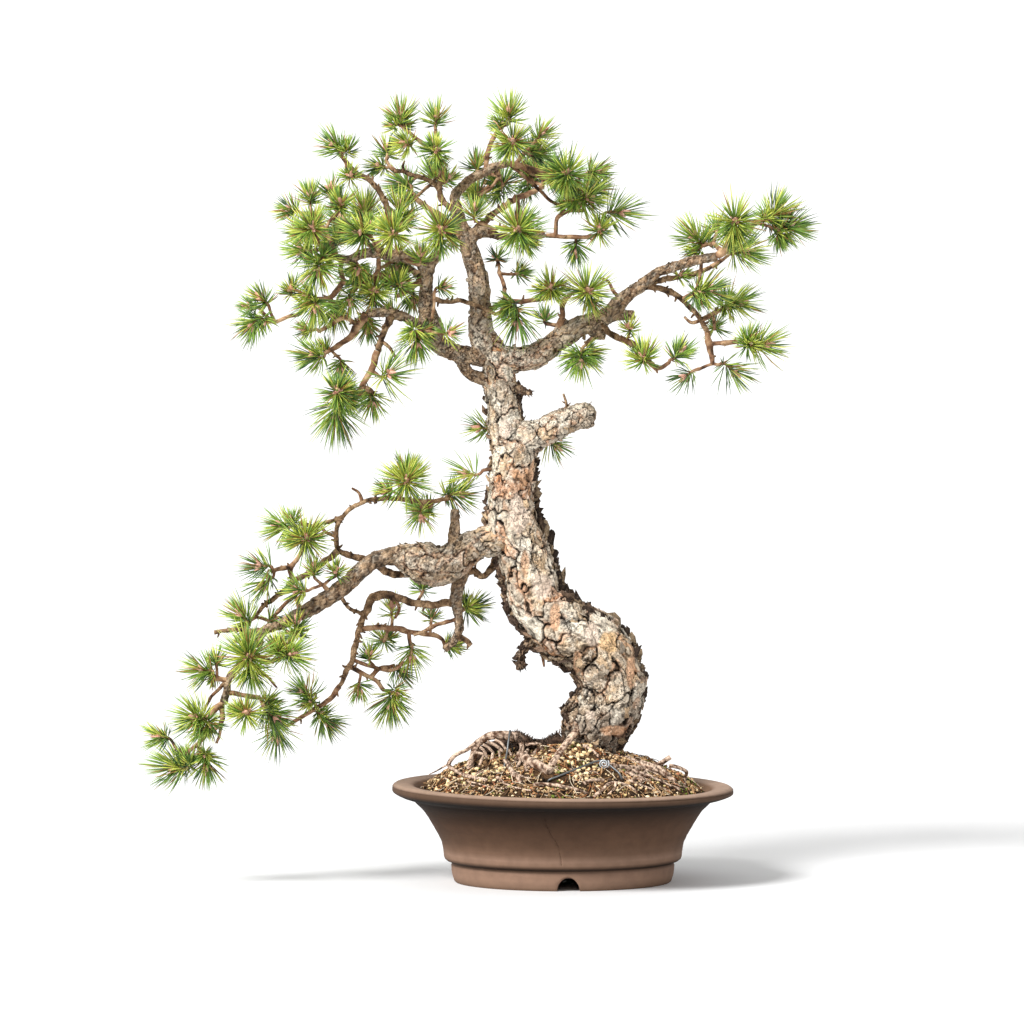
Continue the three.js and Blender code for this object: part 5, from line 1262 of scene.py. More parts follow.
def make_thin_wood():
    """The branches that aren't part of the thick wood, and the bare twigs."""
    patch = Patch()
    thick = sum(THICK_LIMBS.values(), [])
    for number, (name, line) in enumerate(lines.items()):
        if name in thick:
            continue
        fine = gnarled(curve(line, 1.3), 0.3)
        fine[:, 3] *= 0.76 + 0.3 * np.exp(-np.arange(len(fine)) * 1.3 / 6)
        sides = 16 if fine[:, 3].mean() > 4 else 12
        shades = (BRANCH_DARK, BRANCH_BROWN, BRANCH_TAN, 40 + number)
        patch.add_tube(fine, sides, lambda places: branch_tint(places, *shades), branch_relief(number))
        add_spurs(patch, fine, 7)
    for limb, points in TWIGS:
        line = skeleton(points, root_on(lines[limb], *points[0][:2]))
        shades = (BRANCH_DARK, SHOOT_BROWN, BRANCH_TAN, 33)
        fine = gnarled(curve(line, 1.5), 0.4)
        patch.add_tube(fine, 7, lambda places: branch_tint(places, *shades), branch_relief(31, 0.2))
    build("branches", patch, [branch_material], ["tree_wood"])


def front_place(x, seen):
    """The place on the mound that shows at that height from the front, or clear of it on the arch's side."""
    y = np.linspace(-0.97 * POT_OVAL * math.sqrt(max(SOIL_HALF_LENGTH**2 - x * x, 400)), 10, 200)
    shown = soil_height(x, y) + VIEW_RISE * y
    hits = np.flatnonzero(shown >= seen)
    depth = y[hits[0]] if len(hits) else -34
    return x, depth, seen - VIEW_RISE * depth


def surface_root(points, first, last):
    """The line of a root that lies on the mound, most of it above the soil."""
    radii = 0.95 * np.linspace(first, last, len(points))
    places = np.array([front_place(x, seen - 0.8 * radius) for (x, seen), radius in zip(points, radii)])
    places[:, 2] += 0.8 * radii
    return gnarled(curve(np.column_stack([places, radii]), 1.5), 0.35)


def root_tint(places, vertices, seed):
    """Pale and pinkish, mottled with brown and streaked with it along the root."""
    patches = 0.6 * rough(places, 1.3, seed) + 0.9 * rough(vertices, 2.6, seed + 1)
    tint = blend(ROOT_BROWN, ROOT_PALE, smoothstep(-0.3, 0.15, patches))
    return blend(tint, BRANCH_DARK, 0.85 * smoothstep(0.15, 0.5, noise(vertices, 1.9, seed + 2)))


def root_relief(fine, sides, seed, amount=1.0):
    """Long ridges and hollows along a root, and a few knots."""
    ridges = 0.24 * amount * rough(unrolled(fine, sides)[:-2], 1.5, seed)
    return lambda points: 1 + ridges + 0.16 * amount * smoothstep(0.3, 0.85, noise(points, 7, seed + 1))


def add_root(patch, fine, sides, seed, tint_seed, tinted=lambda tint, vertices: tint, relief=1.0):
    """A root; tinted(tint, vertices) changes its mottled tint."""
    vertices, faces = tube(fine, sides, root_relief(fine, sides, seed, relief))
    patch.add(vertices, faces, tinted(root_tint(unrolled(fine, sides), vertices, tint_seed), vertices))


def old_bark(vertices):
    return branch_tint(vertices, DARK_BARK_AND_CRACK_SHADE, BRANCH_DARK, FOOT_BROWN, 95)


def arch_tint(tint, vertices):
    """The arch is old and dark where it leaves the trunk."""
    return blend(tint, old_bark(vertices), smoothstep(-52, -36, vertices[:, 0]))


def rib_tint(tint, vertices):
    return blend(tint, ROOT_PALE, 0.5)


def make_roots():
    patch = Patch()
    special = {
        ARCH_ROOT: {"tinted": arch_tint},
        PROP_ROOT: {"tinted": lambda tint, vertices: 1.25 * tint, "relief": 0.4},
        OLD_ROOT: {"tinted": lambda tint, vertices: 0.6 * old_bark(vertices)},
    }
    for number, line in enumerate(root_lines):
        fine = gnarled(curve(line, 1.5), 0.08 if number == PROP_ROOT else 0.3)
        add_root(patch, fine, 16, 70 + number, 90 + number, **special.get(number, {}))
    for number, fine in enumerate(surface_roots):
        pale = 1.35 if number in WHITE_ROOTS else 1
        add_root(patch, fine, 10, 200 + number, 220 + number, lambda tint, vertices: pale * tint)
    for number, (radius, points) in enumerate(RIBS):
        places = [(x, RIB_DEPTH, seen - VIEW_RISE * RIB_DEPTH, radius) for x, seen in points]
        fine = curve(np.array(places), 1.5)
        add_root(patch, fine, 8, 240 + number, 250 + number, rib_tint)
    build("roots", patch, [root_material], ["tree_wood"])


def make_bristles(count=900):
    """Dark bristles of old fibre on the root between the arch and the trunk."""
    patch = Patch()
    fine = curve(root_lines[ARCH_ROOT], 1)
    _, first, second = axes_along(fine[:, :3])
    rows = np.flatnonzero((fine[:, 0] > -50) & (fine[:, 0] < 4))
    for i in rng.choice(rows, count):
        out = around(first, second, i)
        lean = unit(out + (0, 0, 0.7) + 0.7 * rng.normal(size=3))
        foot = fine[i, :3] + 0.95 * fine[i, 3] * out
        bend = foot + lean * rng.uniform(1.2, 3)
        tip = bend + unit(lean + 0.5 * rng.normal(size=3)) * rng.uniform(1, 3)
        spike = np.array([[*foot, 0.6], [*bend, 0.45], [*tip, 0.12]])
        patch.add_tube(spike, 3, SHARD_DARK * rng.uniform(0.3, 1.5))
    build("bristly_root", patch, [bark_material], ["tree_wood"])


# Needles
wood_points = np.vstack([dense(line) for line in lines.values()])


def clear_of_wood(points):
    distance = np.linalg.norm(points[:, None] - wood_points[None, :, :3], axis=2)
    return np.all(distance > wood_points[None, :, 3] + 1.2, axis=1)


def needle_runs(centre, facing, reach, fullness):
    """Foot, direction, length and bend of a tuft's needles, in pairs round the shoot behind its bud."""
    pairs = int(PAIRS_PER_REACH * fullness * reach)
    share = (np.arange(pairs) + rng.random(pairs)) / pairs
    turn = np.arange(pairs) * GOLDEN_TURN + rng.normal(0, 0.25, pairs)
    tilt = np.radians(FOOT_TILT + (BUD_TILT - FOOT_TILT) * share**0.8 + rng.normal(0, 11, pairs))
    side = unit(np.cross(facing, (0.31, 0.2, 0.93)))
    other = np.cross(facing, side)
    stretch = min(0.5 * reach, 15)
    share, turn, tilt = (np.repeat(values, 2) for values in (share, turn, tilt))
    apart = np.tile([-1, 1], pairs) * np.radians(rng.uniform(4, 9, 2 * pairs))
    twist = np.repeat(rng.uniform(0, math.pi, pairs), 2)
    tilt = tilt + apart * np.cos(twist)
    turn = turn + apart * np.sin(twist) / np.maximum(np.sin(tilt), 0.35)
    outward = np.cos(turn)[:, None] * side + np.sin(turn)[:, None] * other
    direction = np.cos(tilt)[:, None] * facing + np.sin(tilt)[:, None] * outward
    foot = centre + facing * (-stretch * (1 - share))[:, None] + outward * (0.8 * SHOOT_RADIUS)
    offset = foot - centre
    ahead = np.sum(offset * direction, axis=1)
    length = np.sqrt(ahead**2 - np.sum(offset**2, axis=1) + reach**2) - ahead
    length *= np.repeat(rng.uniform(0.77, 1.23, pairs), 2) * rng.uniform(0.96, 1.04, 2 * pairs)
    bend = unit(facing - direction * np.sum(facing * direction, axis=1)[:, None])
    bend = bend * (length * rng.uniform(0.0, 0.16, 2 * pairs))[:, None]
    free = clear_of_wood(foot + direction * (0.6 * length)[:, None])
    free &= clear_of_wood(foot + direction * length[:, None])
    return foot[free], direction[free], length[free], bend[free]


def needle_tints(count, facing):
    """Green to yellow green, some needles brown; painted light on tufts facing up or forward."""
    # A random tone for each tuft, with painted light on tufts that face up or forward
    tone_and_painted_light = rng.normal(0, 0.06) + 0.08 * facing[2] - 0.14 * facing[1]
    fresh = np.clip(0.44 + tone_and_painted_light + np.repeat(rng.normal(0, 0.33, count // 2 + 1), 2)[:count], 0, 1)
    tint = blend(NEEDLE_DARK, NEEDLE_GREEN, smoothstep(0, 0.45, fresh))
    tint = blend(tint, NEEDLE_YELLOW, smoothstep(0.4, 1, fresh))
    return np.where(rng.random((count, 1)) < BROWN_SHARE, NEEDLE_BROWN, tint)


def needles(centre, facing, reach, fullness):
    """Vertices, faces and tints of a tuft; a needle has three sides, a bend, a point and a darker foot."""
    foot, direction, length, bend = needle_runs(centre, facing, reach, fullness)
    count = len(foot)
    steps = np.array([0.0, 0.55, 1.0])
    widths = np.array([0.85, 1.0]) * NEEDLE_WIDTH / 2
    middles = foot[:, None] + direction[:, None] * (length[:, None] * steps)[..., None]
    middles = middles + bend[:, None] * (steps**2)[:, None]
    flat = unit(np.cross(direction, rng.normal(size=(count, 3))))
    thin = np.cross(direction, flat)
    corners = ((0, 0.6), (2.1, 1.0), (4.2, 1.0))
    ring = np.stack([math.cos(turn) * thin * deep + math.sin(turn) * flat for turn, deep in corners], axis=1)
    rings = middles[:, :2, None] + ring[:, None] * widths[None, :, None, None]
    vertices = np.concatenate([rings.reshape(count, 6, 3), middles[:, 2:]], axis=1).reshape(-1, 3)
    pattern = [(k, (k + 1) % 3, (k + 1) % 3 + 3, k + 3) for k in range(3)]
    pattern += [(3, 4, 6), (4, 5, 6), (5, 3, 6)]
    faces = [tuple(7 * i + corner for corner in face) for i in range(count) for face in pattern]
    shade = np.array([0.8] * 3 + [1.05] * 3 + [1.3])
    tints = (needle_tints(count, facing)[:, None] * shade[None, :, None]).reshape(-1, 3)
    return vertices, faces, tints


def bud_tint(vertices):
    return blend(BUD_PINK, PLATE_PALE, 0.5 * smoothstep(0.0, 0.8, noise(vertices, 1.2, 8)))


def add_bud(patch, foot, facing, size):
    profile = [(-1.5, 1.4), (0.5, 2.1), (2.5, 2.1), (4.6, 1.4), (6.2, 0.6), (7.0, 0.15)]
    line = np.array([[*(foot + facing * along * size), radius * size] for along, radius in profile])
    vertices, faces = tube(line, 6, lambda points: 1 + 0.2 * noise(points, 1.1, 3))
    patch.add(vertices, faces, bud_tint(vertices) * rng.uniform(0.8, 1.1), 2)


def add_buds(patch, centre, facing, size, count=5):
    """A bud at the tip of a shoot, and smaller ones round it that lean outward."""
    add_bud(patch, centre, facing, size)
    side = unit(np.cross(facing, (0.3, 0.5, 0.8)))
    other = np.cross(facing, side)
    for turn in round_angles(count) + rng.normal(0, 0.3, count):
        outward = math.cos(turn) * side + math.sin(turn) * other
        lean = unit(facing + rng.uniform(0.6, 1.1) * outward)
        add_bud(patch, centre - facing + outward * 1.5 * size, lean, rng.uniform(0.55, 0.75) * size)


def side_tuft(patch, start, base, facing, reach):
    """A smaller tuft on a side shoot of its own; gives the shoot's line."""
    aside = unit(np.cross(facing, rng.normal(size=3)))
    lean = unit(0.55 * facing + aside)
    beside = base + aside * rng.uniform(0.3, 0.45) * reach
    patch.add(*needles(beside, lean, rng.uniform(0.5, 0.68) * reach, 1), 0)
    add_bud(patch, beside, lean, 0.8)
    return np.array([[*(start + base) / 2, 1.6], [*(0.6 * base + 0.4 * beside), 1.5], [*beside, 1.4]])


def make_spray(name, parent, twigs, tufts):
    """A spray: twigs from a limb, and tufts of needles whose shoots join the nearest twig."""
    patch = Patch()
    carriers = []
    for twig in twigs:
        root = root_on(carriers[0] if carriers else lines[parent], *twig[0][:2])
        carriers.append(skeleton(twig, root))
    shoots = []
    for x, z, y, reach, facing_name, *given in tufts:
        fullness = given[0] if given else rng.uniform(0.82, 1.14)
        facing = unit(np.array(FACING[facing_name], dtype=float))
        centre = np.array([x, y, z], dtype=float)
        base = centre - facing * (0.5 * reach)
        starts = [nearest_on(line, base) for line in carriers or [lines[parent]]]
        start = min(starts, key=lambda point: np.linalg.norm(point - base))
        knee = (start + base) / 2 + rng.normal(0, 1.2, 3)
        shoots.append(np.array([[*start, 1.8], [*knee, 1.6], [*base, 1.6], [*centre, 1.5]]))
        patch.add(*needles(centre, facing, reach, fullness), 0)
        for _ in range(rng.integers(1, 3) if reach > 21 and fullness > 0.6 else 0):
            shoots.append(side_tuft(patch, start, base, facing, reach))
        add_buds(patch, centre, facing, 0.95 + 0.014 * reach)
    shades = (BRANCH_DARK, SHOOT_BROWN, BRANCH_TAN, 140)
    for number, line in enumerate(carriers + shoots):
        fine = gnarled(curve(line, 2.1), 0.35)
        relief = branch_relief(120 + number, 0.22)
        patch.add_tube(fine, 7, lambda places: branch_tint(places, *shades), relief, 1)
        add_spurs(patch, fine, 14, 1)
    build(name + "_full", patch, [needle_material, shoot_material, bud_material], [name])


def make_sprays():
    for region, sprays in SPRAYS.items():
        for number, (parent, twigs, tufts) in enumerate(sprays, start=1):
            make_spray(f"needle_spray_{region}_{number:02d}", parent, twigs, tufts)


# Pot: a lathe made oval, with the drain notches, drain holes and wire holes cut out
def revolved(profile, sides):
    """Vertices and faces of a profile (radius, height), from axis to axis, turned round the pot's middle."""
    angles = round_angles(sides)
    inner = profile[1:-1]
    vertices = [(0, 0, profile[0][1])]
    for radius, height in inner:
        vertices += [(radius * math.cos(a), radius * POT_OVAL * math.sin(a), height) for a in angles]
    vertices.append((0, 0, profile[-1][1]))
    faces = []
    for k in range(sides):
        after = (k + 1) % sides
        faces.append((0, 1 + after, 1 + k))
        for i in range(len(inner) - 1):
            a, b = 1 + i * sides + k, 1 + i * sides + after
            faces.append((a, b, b + sides, a + sides))
        low = 1 + (len(inner) - 1) * sides
        faces.append((len(vertices) - 1, low + k, low + after))
    return np.array(vertices, dtype=float), faces


def rounded(profile, spacing=2.8):
    """A profile with its long stretches in even steps, so that fine relief has somewhere to go."""
    out = [profile[0]]
    for start, end in zip(profile, profile[1:]):
        steps = max(1, round(math.dist(start, end) / spacing))
        for step in range(1, steps + 1):
            share = step / steps
            out.append((start[0] + (end[0] - start[0]) * share, start[1] + (end[1] - start[1]) * share))
    return out


POT_PROFILE = [
    (0, 12.5), (94, 12.5), (97, 6), (98.8, 1.2), (100.4, 0), (107.4, 0), (108.8, 1.2), (110.4, 6),
    (111.6, 12), (112, 17), (111, 19), (111.4, 20.4), (116, 21.8), (118.2, 23.6), (119.2, 26), (119.8, 30),
    (120.6, 36), (121.6, 41), (124.6, 47), (128, 53), (131.6, 59), (135.2, 65), (139.2, 71), (144, 76),
    (147.6, 79.4), (149.4, 81.2), (150.2, 82.4), (152.4, 83), (157, 83.9), (162, 85.2), (166, 86.8),
    (169, 88.4), (170.4, 89.4), (171, 90.6), (171, 93.1), (170.3, 93.5), (170.3, 94.1), (170.9, 94.5),
    (169.6, 95.9), (167.8, 97.1), (166.6, 97.4), (164, 97.4), (157, 96.9), (151, 95.8), (148.8, 94.6),
    (147, 92), (141, 86), (133, 75), (121, 55), (112, 38), (105, 23), (98, FLOOR_TOP), (0, FLOOR_TOP),
]


def upright(radius, x, y, sides, low=8, high=22):
    return tube(np.array([[x, y, low, radius], [x, y, high, radius]], dtype=float), sides)


def notch(side):
    """An arch with a bevelled mouth, cut through the foot ring from front to back."""
    half, height, bevel = NOTCH["width"] / 2, NOTCH["height"], NOTCH["bevel"]
    angles = np.linspace(0, math.pi, 13)
    places = [
        (86 * POT_OVAL, 0), (109.4 * POT_OVAL, 0), (111.6 * POT_OVAL, bevel), (116 * POT_OVAL, 1.6 * bevel)
    ]
    vertices, faces = [], []
    for y, extra in places:
        outline = [((half + extra) * math.cos(a), (height + 0.7 * extra) * math.sin(a)) for a in angles]
        outline += [(-half - extra, -3), (half + extra, -3)]
        vertices += [(NOTCH["x"] + px, side * y, pz) for px, pz in outline]
    count = len(angles) + 2
    for i in range(len(places) - 1):
        for k in range(count):
            a, b = i * count + k, i * count + (k + 1) % count
            face = (a, b, b + count, a + count)
            faces.append(face[::-1] if side > 0 else face)
    ends = [tuple(range(count)), tuple(range((len(places) - 1) * count, len(places) * count))[::-1]]
    faces += [end if side > 0 else end[::-1] for end in ends]
    return vertices, faces


# The clay's colour by height, with light and shade painted in: painted shade in the crease over the
# foot and darkening up the wall to the lip, and painted light on the foot, the bulge over it and the rim's
# top
CLAY_LEVELS = [0, 8, 18, 20, 22.5, 25, 30, 36, 45, 60, 72, 80, 87, 90, 93.6, 94.4, 96, 97.4]
CLAY_COLOURS_WITH_PAINTED_LIGHT = np.array([
    srgb(116, 92, 75), srgb(138, 110, 92), srgb(130, 103, 86), srgb(46, 33, 24), srgb(40, 28, 20),
    srgb(122, 96, 79), srgb(134, 107, 90), srgb(108, 83, 67), srgb(90, 67, 52), srgb(80, 58, 44),
    srgb(58, 41, 30), srgb(34, 23, 16), srgb(16, 11, 8), srgb(76, 57, 44), srgb(88, 68, 54),
    srgb(112, 89, 74), srgb(150, 126, 109), srgb(158, 133, 115),
])
CLAY_INSIDE = srgb(112, 86, 66)
POT_LEAN = 0.0118
# The hairline crack on the pot's front: points (x, z)
CRACK = [
    (-19.5, 84), (-18, 74), (-15.5, 65), (-11.5, 57), (-8, 52), (-5, 46), (-4, 40), (-2.5, 34), (-1.5, 27),
]
CRACK_RADIUS = 0.28


def leaned(vertices):
    """The pot's rim isn't quite level: it is lower on the right."""
    x, z = vertices[:, 0], vertices[:, 2]
    return vertices - np.outer(POT_LEAN * x * smoothstep(78, 96, z), (0, 0, 1))


def crack_line():
    """The crack laid on the front of the pot."""
    wall = np.array(POT_PROFILE[POT_PROFILE.index((111.4, 20.4)):POT_PROFILE.index((162, 85.2))])
    points = []
    for x, z in CRACK:
        reach = np.interp(z, wall[:, 1], wall[:, 0])
        points.append((x, -POT_OVAL * math.sqrt(reach**2 - x**2), z, CRACK_RADIUS))
    return curve(np.array(points), 3)


def cut_body(crack):
    """Vertices, normals and faces of the clay body with its openings and its crack cut out."""
    body = placed("pot_body", to_mesh("pot_body", *revolved(rounded(POT_PROFILE), POT_SIDES)))
    cuts = [notch(-1), notch(1), tube(crack, 6)]
    cuts += [upright(DRAIN_HOLE["radius"], side * DRAIN_HOLE["x"], 0, 48) for side in (-1, 1)]
    cuts += [upright(WIRE_HOLE_RADIUS, x, y, 16) for run in WIRES.values() for x, y in (run[0], run[-1])]
    cutters = [placed(f"pot_cut_{number}", to_mesh("cut", *cut)) for number, cut in enumerate(cuts)]
    for cutter in cutters:
        modifier = body.modifiers.new(cutter.name, "BOOLEAN")
        modifier.object = cutter
        modifier.operation = "DIFFERENCE"
        modifier.solver = "EXACT"
    vertices, normals, faces = evaluated(body)
    for cutter in cutters:
        bpy.data.objects.remove(cutter)
    return vertices, normals, faces


def make_pot():
    crack = crack_line()
    vertices, normals, faces = cut_body(crack)
    reach = np.hypot(vertices[:, 0], vertices[:, 1] / POT_OVAL)
    height = vertices[:, 2]
    turned = noise(vertices * (0.02, 0.02, 1), 2.6, 21) + 0.6 * noise(vertices * (0.01, 0.01, 1), 6, 22)
    tree = tree_of(dense(crack)[:, :3])
    far = np.array([tree.find(vertex)[2] for vertex in vertices])
    outside = (reach > 109) & (far > 2)
    vertices = vertices + normals * (0.18 * turned * outside)[:, None]
    cloudy = rough(vertices * (1, 1, 2.6), 60, 24) + 0.35 * turned
    # Painted light and shade by height, from the table of clay colours
    tint = np.column_stack([np.interp(height, CLAY_LEVELS, CLAY_COLOURS_WITH_PAINTED_LIGHT[:, k]) for k in range(3)])
    inward = -np.sum(normals[:, :2] * vertices[:, :2], axis=1) / np.maximum(reach, 1)
    tint = blend(tint, CLAY_INSIDE, smoothstep(0.2, 0.5, inward) * smoothstep(18, 30, height))
    tint = tint * (1 + 0.14 * cloudy)[:, None]
    patch = Patch()
    patch.add(leaned(vertices), faces, tint)
    patch.materials = [int(all(far[corner] < 1.1 * CRACK_RADIUS for corner in face)) for face in faces]
    build("pot_clay_body", patch, [clay_material, crack_material], ["pot"])


# Soil
def soil_height(x, y):
    share = np.hypot(x, y / POT_OVAL) / SOIL_HALF_LENGTH
    lump = np.sin(x * 0.11 + 1) * np.cos(y * 0.13) + np.sin(y * 0.19 + x * 0.05)
    height = SOIL_EDGE + SOIL_RISE * (1 - np.minimum(share, 1) ** SOIL_SHAPE)
    heap = HEAP["rise"] * np.exp(-((x - HEAP["x"]) ** 2 + (y - HEAP["y"]) ** 2) / HEAP["spread"] ** 2)
    return height + heap + SOIL_LUMP * lump * smoothstep(1.0, 0.9, share) - POT_LEAN * x


def make_soil():
    low = FLOOR_TOP + SOIL_CLEARANCE
    wall = [(0, low), (97.5, low), (111.5, 38), (132.5, 75)]
    top = [(share * SOIL_HALF_LENGTH, SOIL_EDGE) for share in np.linspace(1, 0, 80)]
    vertices, faces = revolved(wall + top, 210)
    upper = vertices[:, 2] > SOIL_EDGE - 1
    x, y = vertices[:, 0], vertices[:, 1]
    bumps = 1.3 * rough(vertices, 7, 51) + 0.7 * noise(vertices, 2.2, 52)
    vertices[:, 2] = np.where(upper, soil_height(x, y) + bumps, vertices[:, 2])
    tint = blend(SOIL_DARK, SOIL_BROWN, smoothstep(-0.5, 0.5, rough(vertices, 5, 53)))
    patch = Patch()
    patch.add(vertices, faces, tint)
    build("soil_mound", patch, [soil_material], ["soil"])


SOIL_DARK = srgb(27, 20, 15)
SOIL_BROWN = srgb(92, 69, 47)
GRAIN_COLOURS = np.array([
    srgb(212, 182, 140), srgb(184, 150, 110), srgb(148, 116, 84), srgb(232, 212, 174), srgb(106, 82, 62),
    srgb(76, 62, 51), srgb(192, 170, 118), srgb(48, 39, 33), srgb(176, 116, 84), srgb(138, 130, 78),
])
GRAIN_SHARES = [0.2, 0.19, 0.15, 0.08, 0.12, 0.08, 0.05, 0.04, 0.04, 0.05]
MOSS_GREEN = srgb(104, 118, 48)
PUMICE = srgb(236, 212, 164)
LITTER_COLOURS = [
    srgb(112, 82, 58), srgb(204, 172, 132), srgb(168, 108, 68), srgb(232, 214, 186), srgb(66, 51, 41),
    srgb(190, 146, 100),
]
PUMICE_BEDS = [
    {"x": 13, "y": -60, "spread": 11, "count": 90}, {"x": -82, "y": -48, "spread": 10, "count": 20},
    {"x": -124, "y": -40, "spread": 10, "count": 30},
]


def icosahedron():
    golden = (1 + math.sqrt(5)) / 2
    corners = []
    for a in (-1, 1):
        for b in (-golden, golden):
            corners += [(0, a, b), (a, b, 0), (b, 0, a)]
    corners = unit(np.array(corners, dtype=float))
    faces = []
    reach = np.linalg.norm(corners[:, None] - corners[None], axis=2)
    edge = reach[reach > 0.1].min() * 1.01
    for i in range(12):
        for j in range(i + 1, 12):
            for k in range(j + 1, 12):
                if max(reach[i, j], reach[j, k], reach[i, k]) < edge:
                    normal = np.cross(corners[j] - corners[i], corners[k] - corners[i])
                    faces.append((i, j, k) if normal.dot(corners[i]) > 0 else (i, k, j))
    return corners, faces


def is_free(x, y):
    """Whether a place on the mound is clear of the roots that lie on it and of the tie wires."""
    return np.all(np.hypot(taken[:, 0] - x, taken[:, 1] - y) > taken[:, 3] + 0.5)


def on_mound(count):
    """Random places on the mound, clear of the trunk's foot, with more of them in front."""
    places = []
    while len(places) < count:
        x, y = rng.uniform(-1, 1, 2) * (SOIL_HALF_LENGTH - 3)
        if math.hypot(x, y) > SOIL_HALF_LENGTH - 4 or (y > 0 and rng.random() < 0.35):
            continue
        y *= POT_OVAL
        if math.hypot(x - 30, y) > 26 and is_free(x, y):
            places.append((x, y))
    return np.array(places)


def make_grains(count=5400):
    corners, pattern = icosahedron()
    places = on_mound(count)
    sizes = rng.gamma(3, 0.22, count) + 0.55
    colours = GRAIN_COLOURS[rng.choice(len(GRAIN_COLOURS), count, p=GRAIN_SHARES)]
    level = np.column_stack([places, np.zeros(count)])
    mossy = rough(level, 17, 61) + rng.normal(0, 0.12, count) > 0.42
    colours = np.where(mossy[:, None], MOSS_GREEN, colours)
    sizes = np.where(mossy, 0.75 * sizes, sizes)
    for bed in PUMICE_BEDS:
        among = np.hypot(places[:, 0] - bed["x"], (places[:, 1] - bed["y"]) / 1.5) < 1.3 * bed["spread"]
        kept = ~among | (rng.random(len(places)) < 0.35)
        places, sizes, colours = places[kept], sizes[kept], colours[kept]
        spots = rng.normal((bed["x"], bed["y"]), (bed["spread"], 1.5 * bed["spread"]), (bed["count"], 2))
        spots = spots[scattered(np.column_stack([spots, np.zeros(len(spots))]), 4.6)]
        spots = spots[[is_free(x, y) for x, y in spots]]
        places = np.vstack([places, spots])
        sizes = np.concatenate([sizes, rng.uniform(2.0, 3.1, len(spots))])
        colours = np.vstack([colours, np.tile(PUMICE, (len(spots), 1))])
    heights = soil_height(places[:, 0], places[:, 1]) + 0.4 * sizes + rng.uniform(-0.9, 1.0, len(places))
    patch = Patch()
    for (x, y), size, height, colour in zip(places, sizes, heights, colours):
        shape = corners * rng.uniform(0.7, 1.2, (12, 1)) * size * rng.uniform(0.6, 1.3, 3)
        patch.add(shape + (x, y, height), pattern, colour * rng.uniform(0.75, 1.5))
    build("soil_grains", patch, [grain_material], ["soil"], smooth=False)


def make_litter(count=1700):
    """Bits of dead needle, twig and fine root that lie on the mound."""
    patch = Patch()
    for x, y in on_mound(count):
        length, heading = rng.uniform(4, 15), rng.uniform(0, 2 * math.pi)
        turn = rng.normal(0, 0.5)
        points = []
        for share in (-0.5, 0.0, 0.5):
            angle = heading + turn * share
            px, py = x + share * length * math.cos(angle), y + share * length * math.sin(angle)
            inside = math.hypot(px, py / POT_OVAL) < SOIL_HALF_LENGTH - 2
            ground = soil_height(px, py) if inside else soil_height(x, y)
            points.append((px, py, ground + rng.uniform(0.8, 2.6), rng.uniform(0.25, 0.55)))
        tint = LITTER_COLOURS[rng.integers(len(LITTER_COLOURS))] * rng.uniform(0.8, 1.2)
        patch.add_tube(curve(np.array(points), 3.2), 3, tint)
    build("soil_litter", patch, [grain_material], ["soil"])


# Tie wires
WIRE_GREY = srgb(116, 119, 120)
# The coil's grey is much lighter than the wire's: a painted highlight
COIL_GREY_WITH_PAINTED_HIGHLIGHT = srgb(206, 212, 216)
COIL = {"x": 40.3, "y": -72, "z": 125.2, "turns": 2.1, "inner": 0.9, "outer": 5.2, "radius": 0.65}


def coiled_end():
    """The cut end of the front wire, wound into a flat coil that faces the front."""
    turn = np.linspace(0, COIL["turns"] * 2 * math.pi, 46)
    reach = np.linspace(COIL["inner"], COIL["outer"], len(turn))
    depth = np.linspace(-1.6, 0.6, len(turn))
    x = COIL["x"] + reach * np.cos(turn)
    z = COIL["z"] + reach * np.sin(turn)
    return np.column_stack([x, COIL["y"] + depth, z, np.full(len(turn), COIL["radius"])])


def make_wires():
    floor = FLOOR_TOP + 3
    for name, run in WIRES.items():
        start, end = run[0], run[-1]
        places = [(*start, WIRE_LOW), (*start, floor), *run[1:-1], (*end, floor), (*end, WIRE_LOW)]
        line = np.array([(*place, WIRE_RADIUS) for place in places], dtype=float)
        patch = Patch()
        patch.add_tube(curve(line, 1.5), 12, WIRE_GREY)
        if name == "tie_wire_front":
            patch.add_tube(coiled_end(), 8, COIL_GREY_WITH_PAINTED_HIGHLIGHT, material=1)
        build(name + "_round", patch, [wire_material, coil_painted_highlight_material], [name])


# Floor, light and camera
SKY = 0.74
KEY = {"strength": 3.9, "softness": 20, "direction": (0.8, 0.75, -1.0)}
FLOOR_HALF = 120  # in metres


def make_stage():
    corners = [(FLOOR_HALF * x, FLOOR_HALF * y, 0) for x, y in ((-1, -1), (1, -1), (1, 1), (-1, 1))]
    mesh = bpy.data.meshes.new("floor")
    mesh.from_pydata(corners, [], [(0, 1, 2, 3)])
    mesh.materials.append(Graph("floor", Roughness=0.9, Base_Color=(0.8, 0.8, 0.8, 1)).material)
    placed("floor", mesh)


def looking(direction):
    """Turn of a camera or lamp that looks along a direction."""
    return Vector(direction).to_track_quat("-Z", "Y").to_euler()


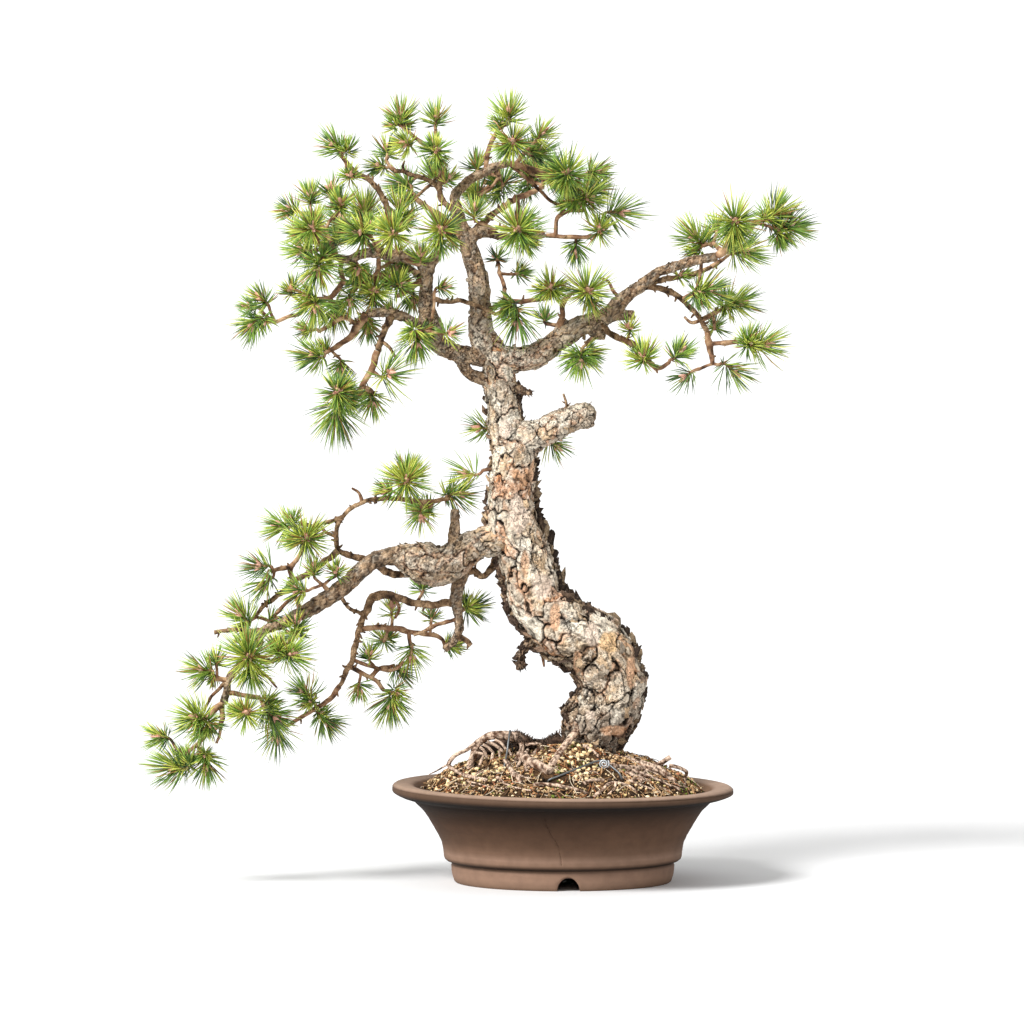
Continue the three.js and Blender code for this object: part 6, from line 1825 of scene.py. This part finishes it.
def make_light():
    world = bpy.data.worlds.new("studio")
    world.use_nodes = True
    background = world.node_tree.nodes["Background"]
    background.inputs["Color"].default_value = (1, 1, 1, 1)
    background.inputs["Strength"].default_value = SKY
    bpy.context.scene.world = world
    light = bpy.data.lights.new("key", "SUN")
    light.energy = KEY["strength"]
    light.angle = math.radians(KEY["softness"])
    placed("key", light).rotation_euler = looking(KEY["direction"])
    bpy.context.scene.view_settings.view_transform = "Standard"


CAMERA = {"distance": 9000, "height": 972, "aim": (-51, 0, 371), "frame_width": 1024, "sensor": 36}


def make_camera():
    data = bpy.data.cameras.new("camera")
    data.sensor_width = CAMERA["sensor"]
    aim = np.array(CAMERA["aim"], dtype=float)
    rise = CAMERA["height"] - aim[2]
    away = math.sqrt(CAMERA["distance"] ** 2 - rise**2)
    place = np.array([aim[0], -away, CAMERA["height"]])
    data.lens = CAMERA["sensor"] * CAMERA["distance"] / CAMERA["frame_width"]
    data.clip_end = 300
    camera = placed("camera", data)
    camera.location = place * MM + POT_MIDDLE
    camera.rotation_euler = looking((aim - place) * MM)
    bpy.context.scene.camera = camera


def dress_drain_meshes():
    """Dark plastic for the two drain meshes, which stay as they are."""
    graph = Graph("mesh_plastic", Roughness=0.55)
    colour = graph.add("ValToRGB", "Color", Fac=graph.add("TexNoise", "Fac", Scale=300))
    dark, light = colour.node.color_ramp.elements
    dark.color = (0.015, 0.015, 0.017, 1)
    light.color = (0.035, 0.035, 0.038, 1)
    graph.fill(graph.skin, {"Base_Color": colour})
    for side in ("left", "right"):
        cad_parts[f"drain_mesh_{side}"].material_slots[0].material = graph.material


make_camera()
make_stage()
make_light()
surface_roots = [surface_root(*root) for root in SURFACE_ROOTS]
wire_runs = [np.array([(*point, WIRE_RADIUS) for point in run[1:-1]]) for run in WIRES.values()]
taken = np.vstack([fine[::2] for fine in surface_roots] + [curve(run, 2) for run in wire_runs])
for piece_name, limb_names in THICK_LIMBS.items():
    make_thick_wood(piece_name, limb_names)
make_flakes()
make_thin_wood()
make_roots()
make_bristles()
make_sprays()
make_pot()
make_soil()
make_grains()
make_litter()
make_wires()
dress_drain_meshes()
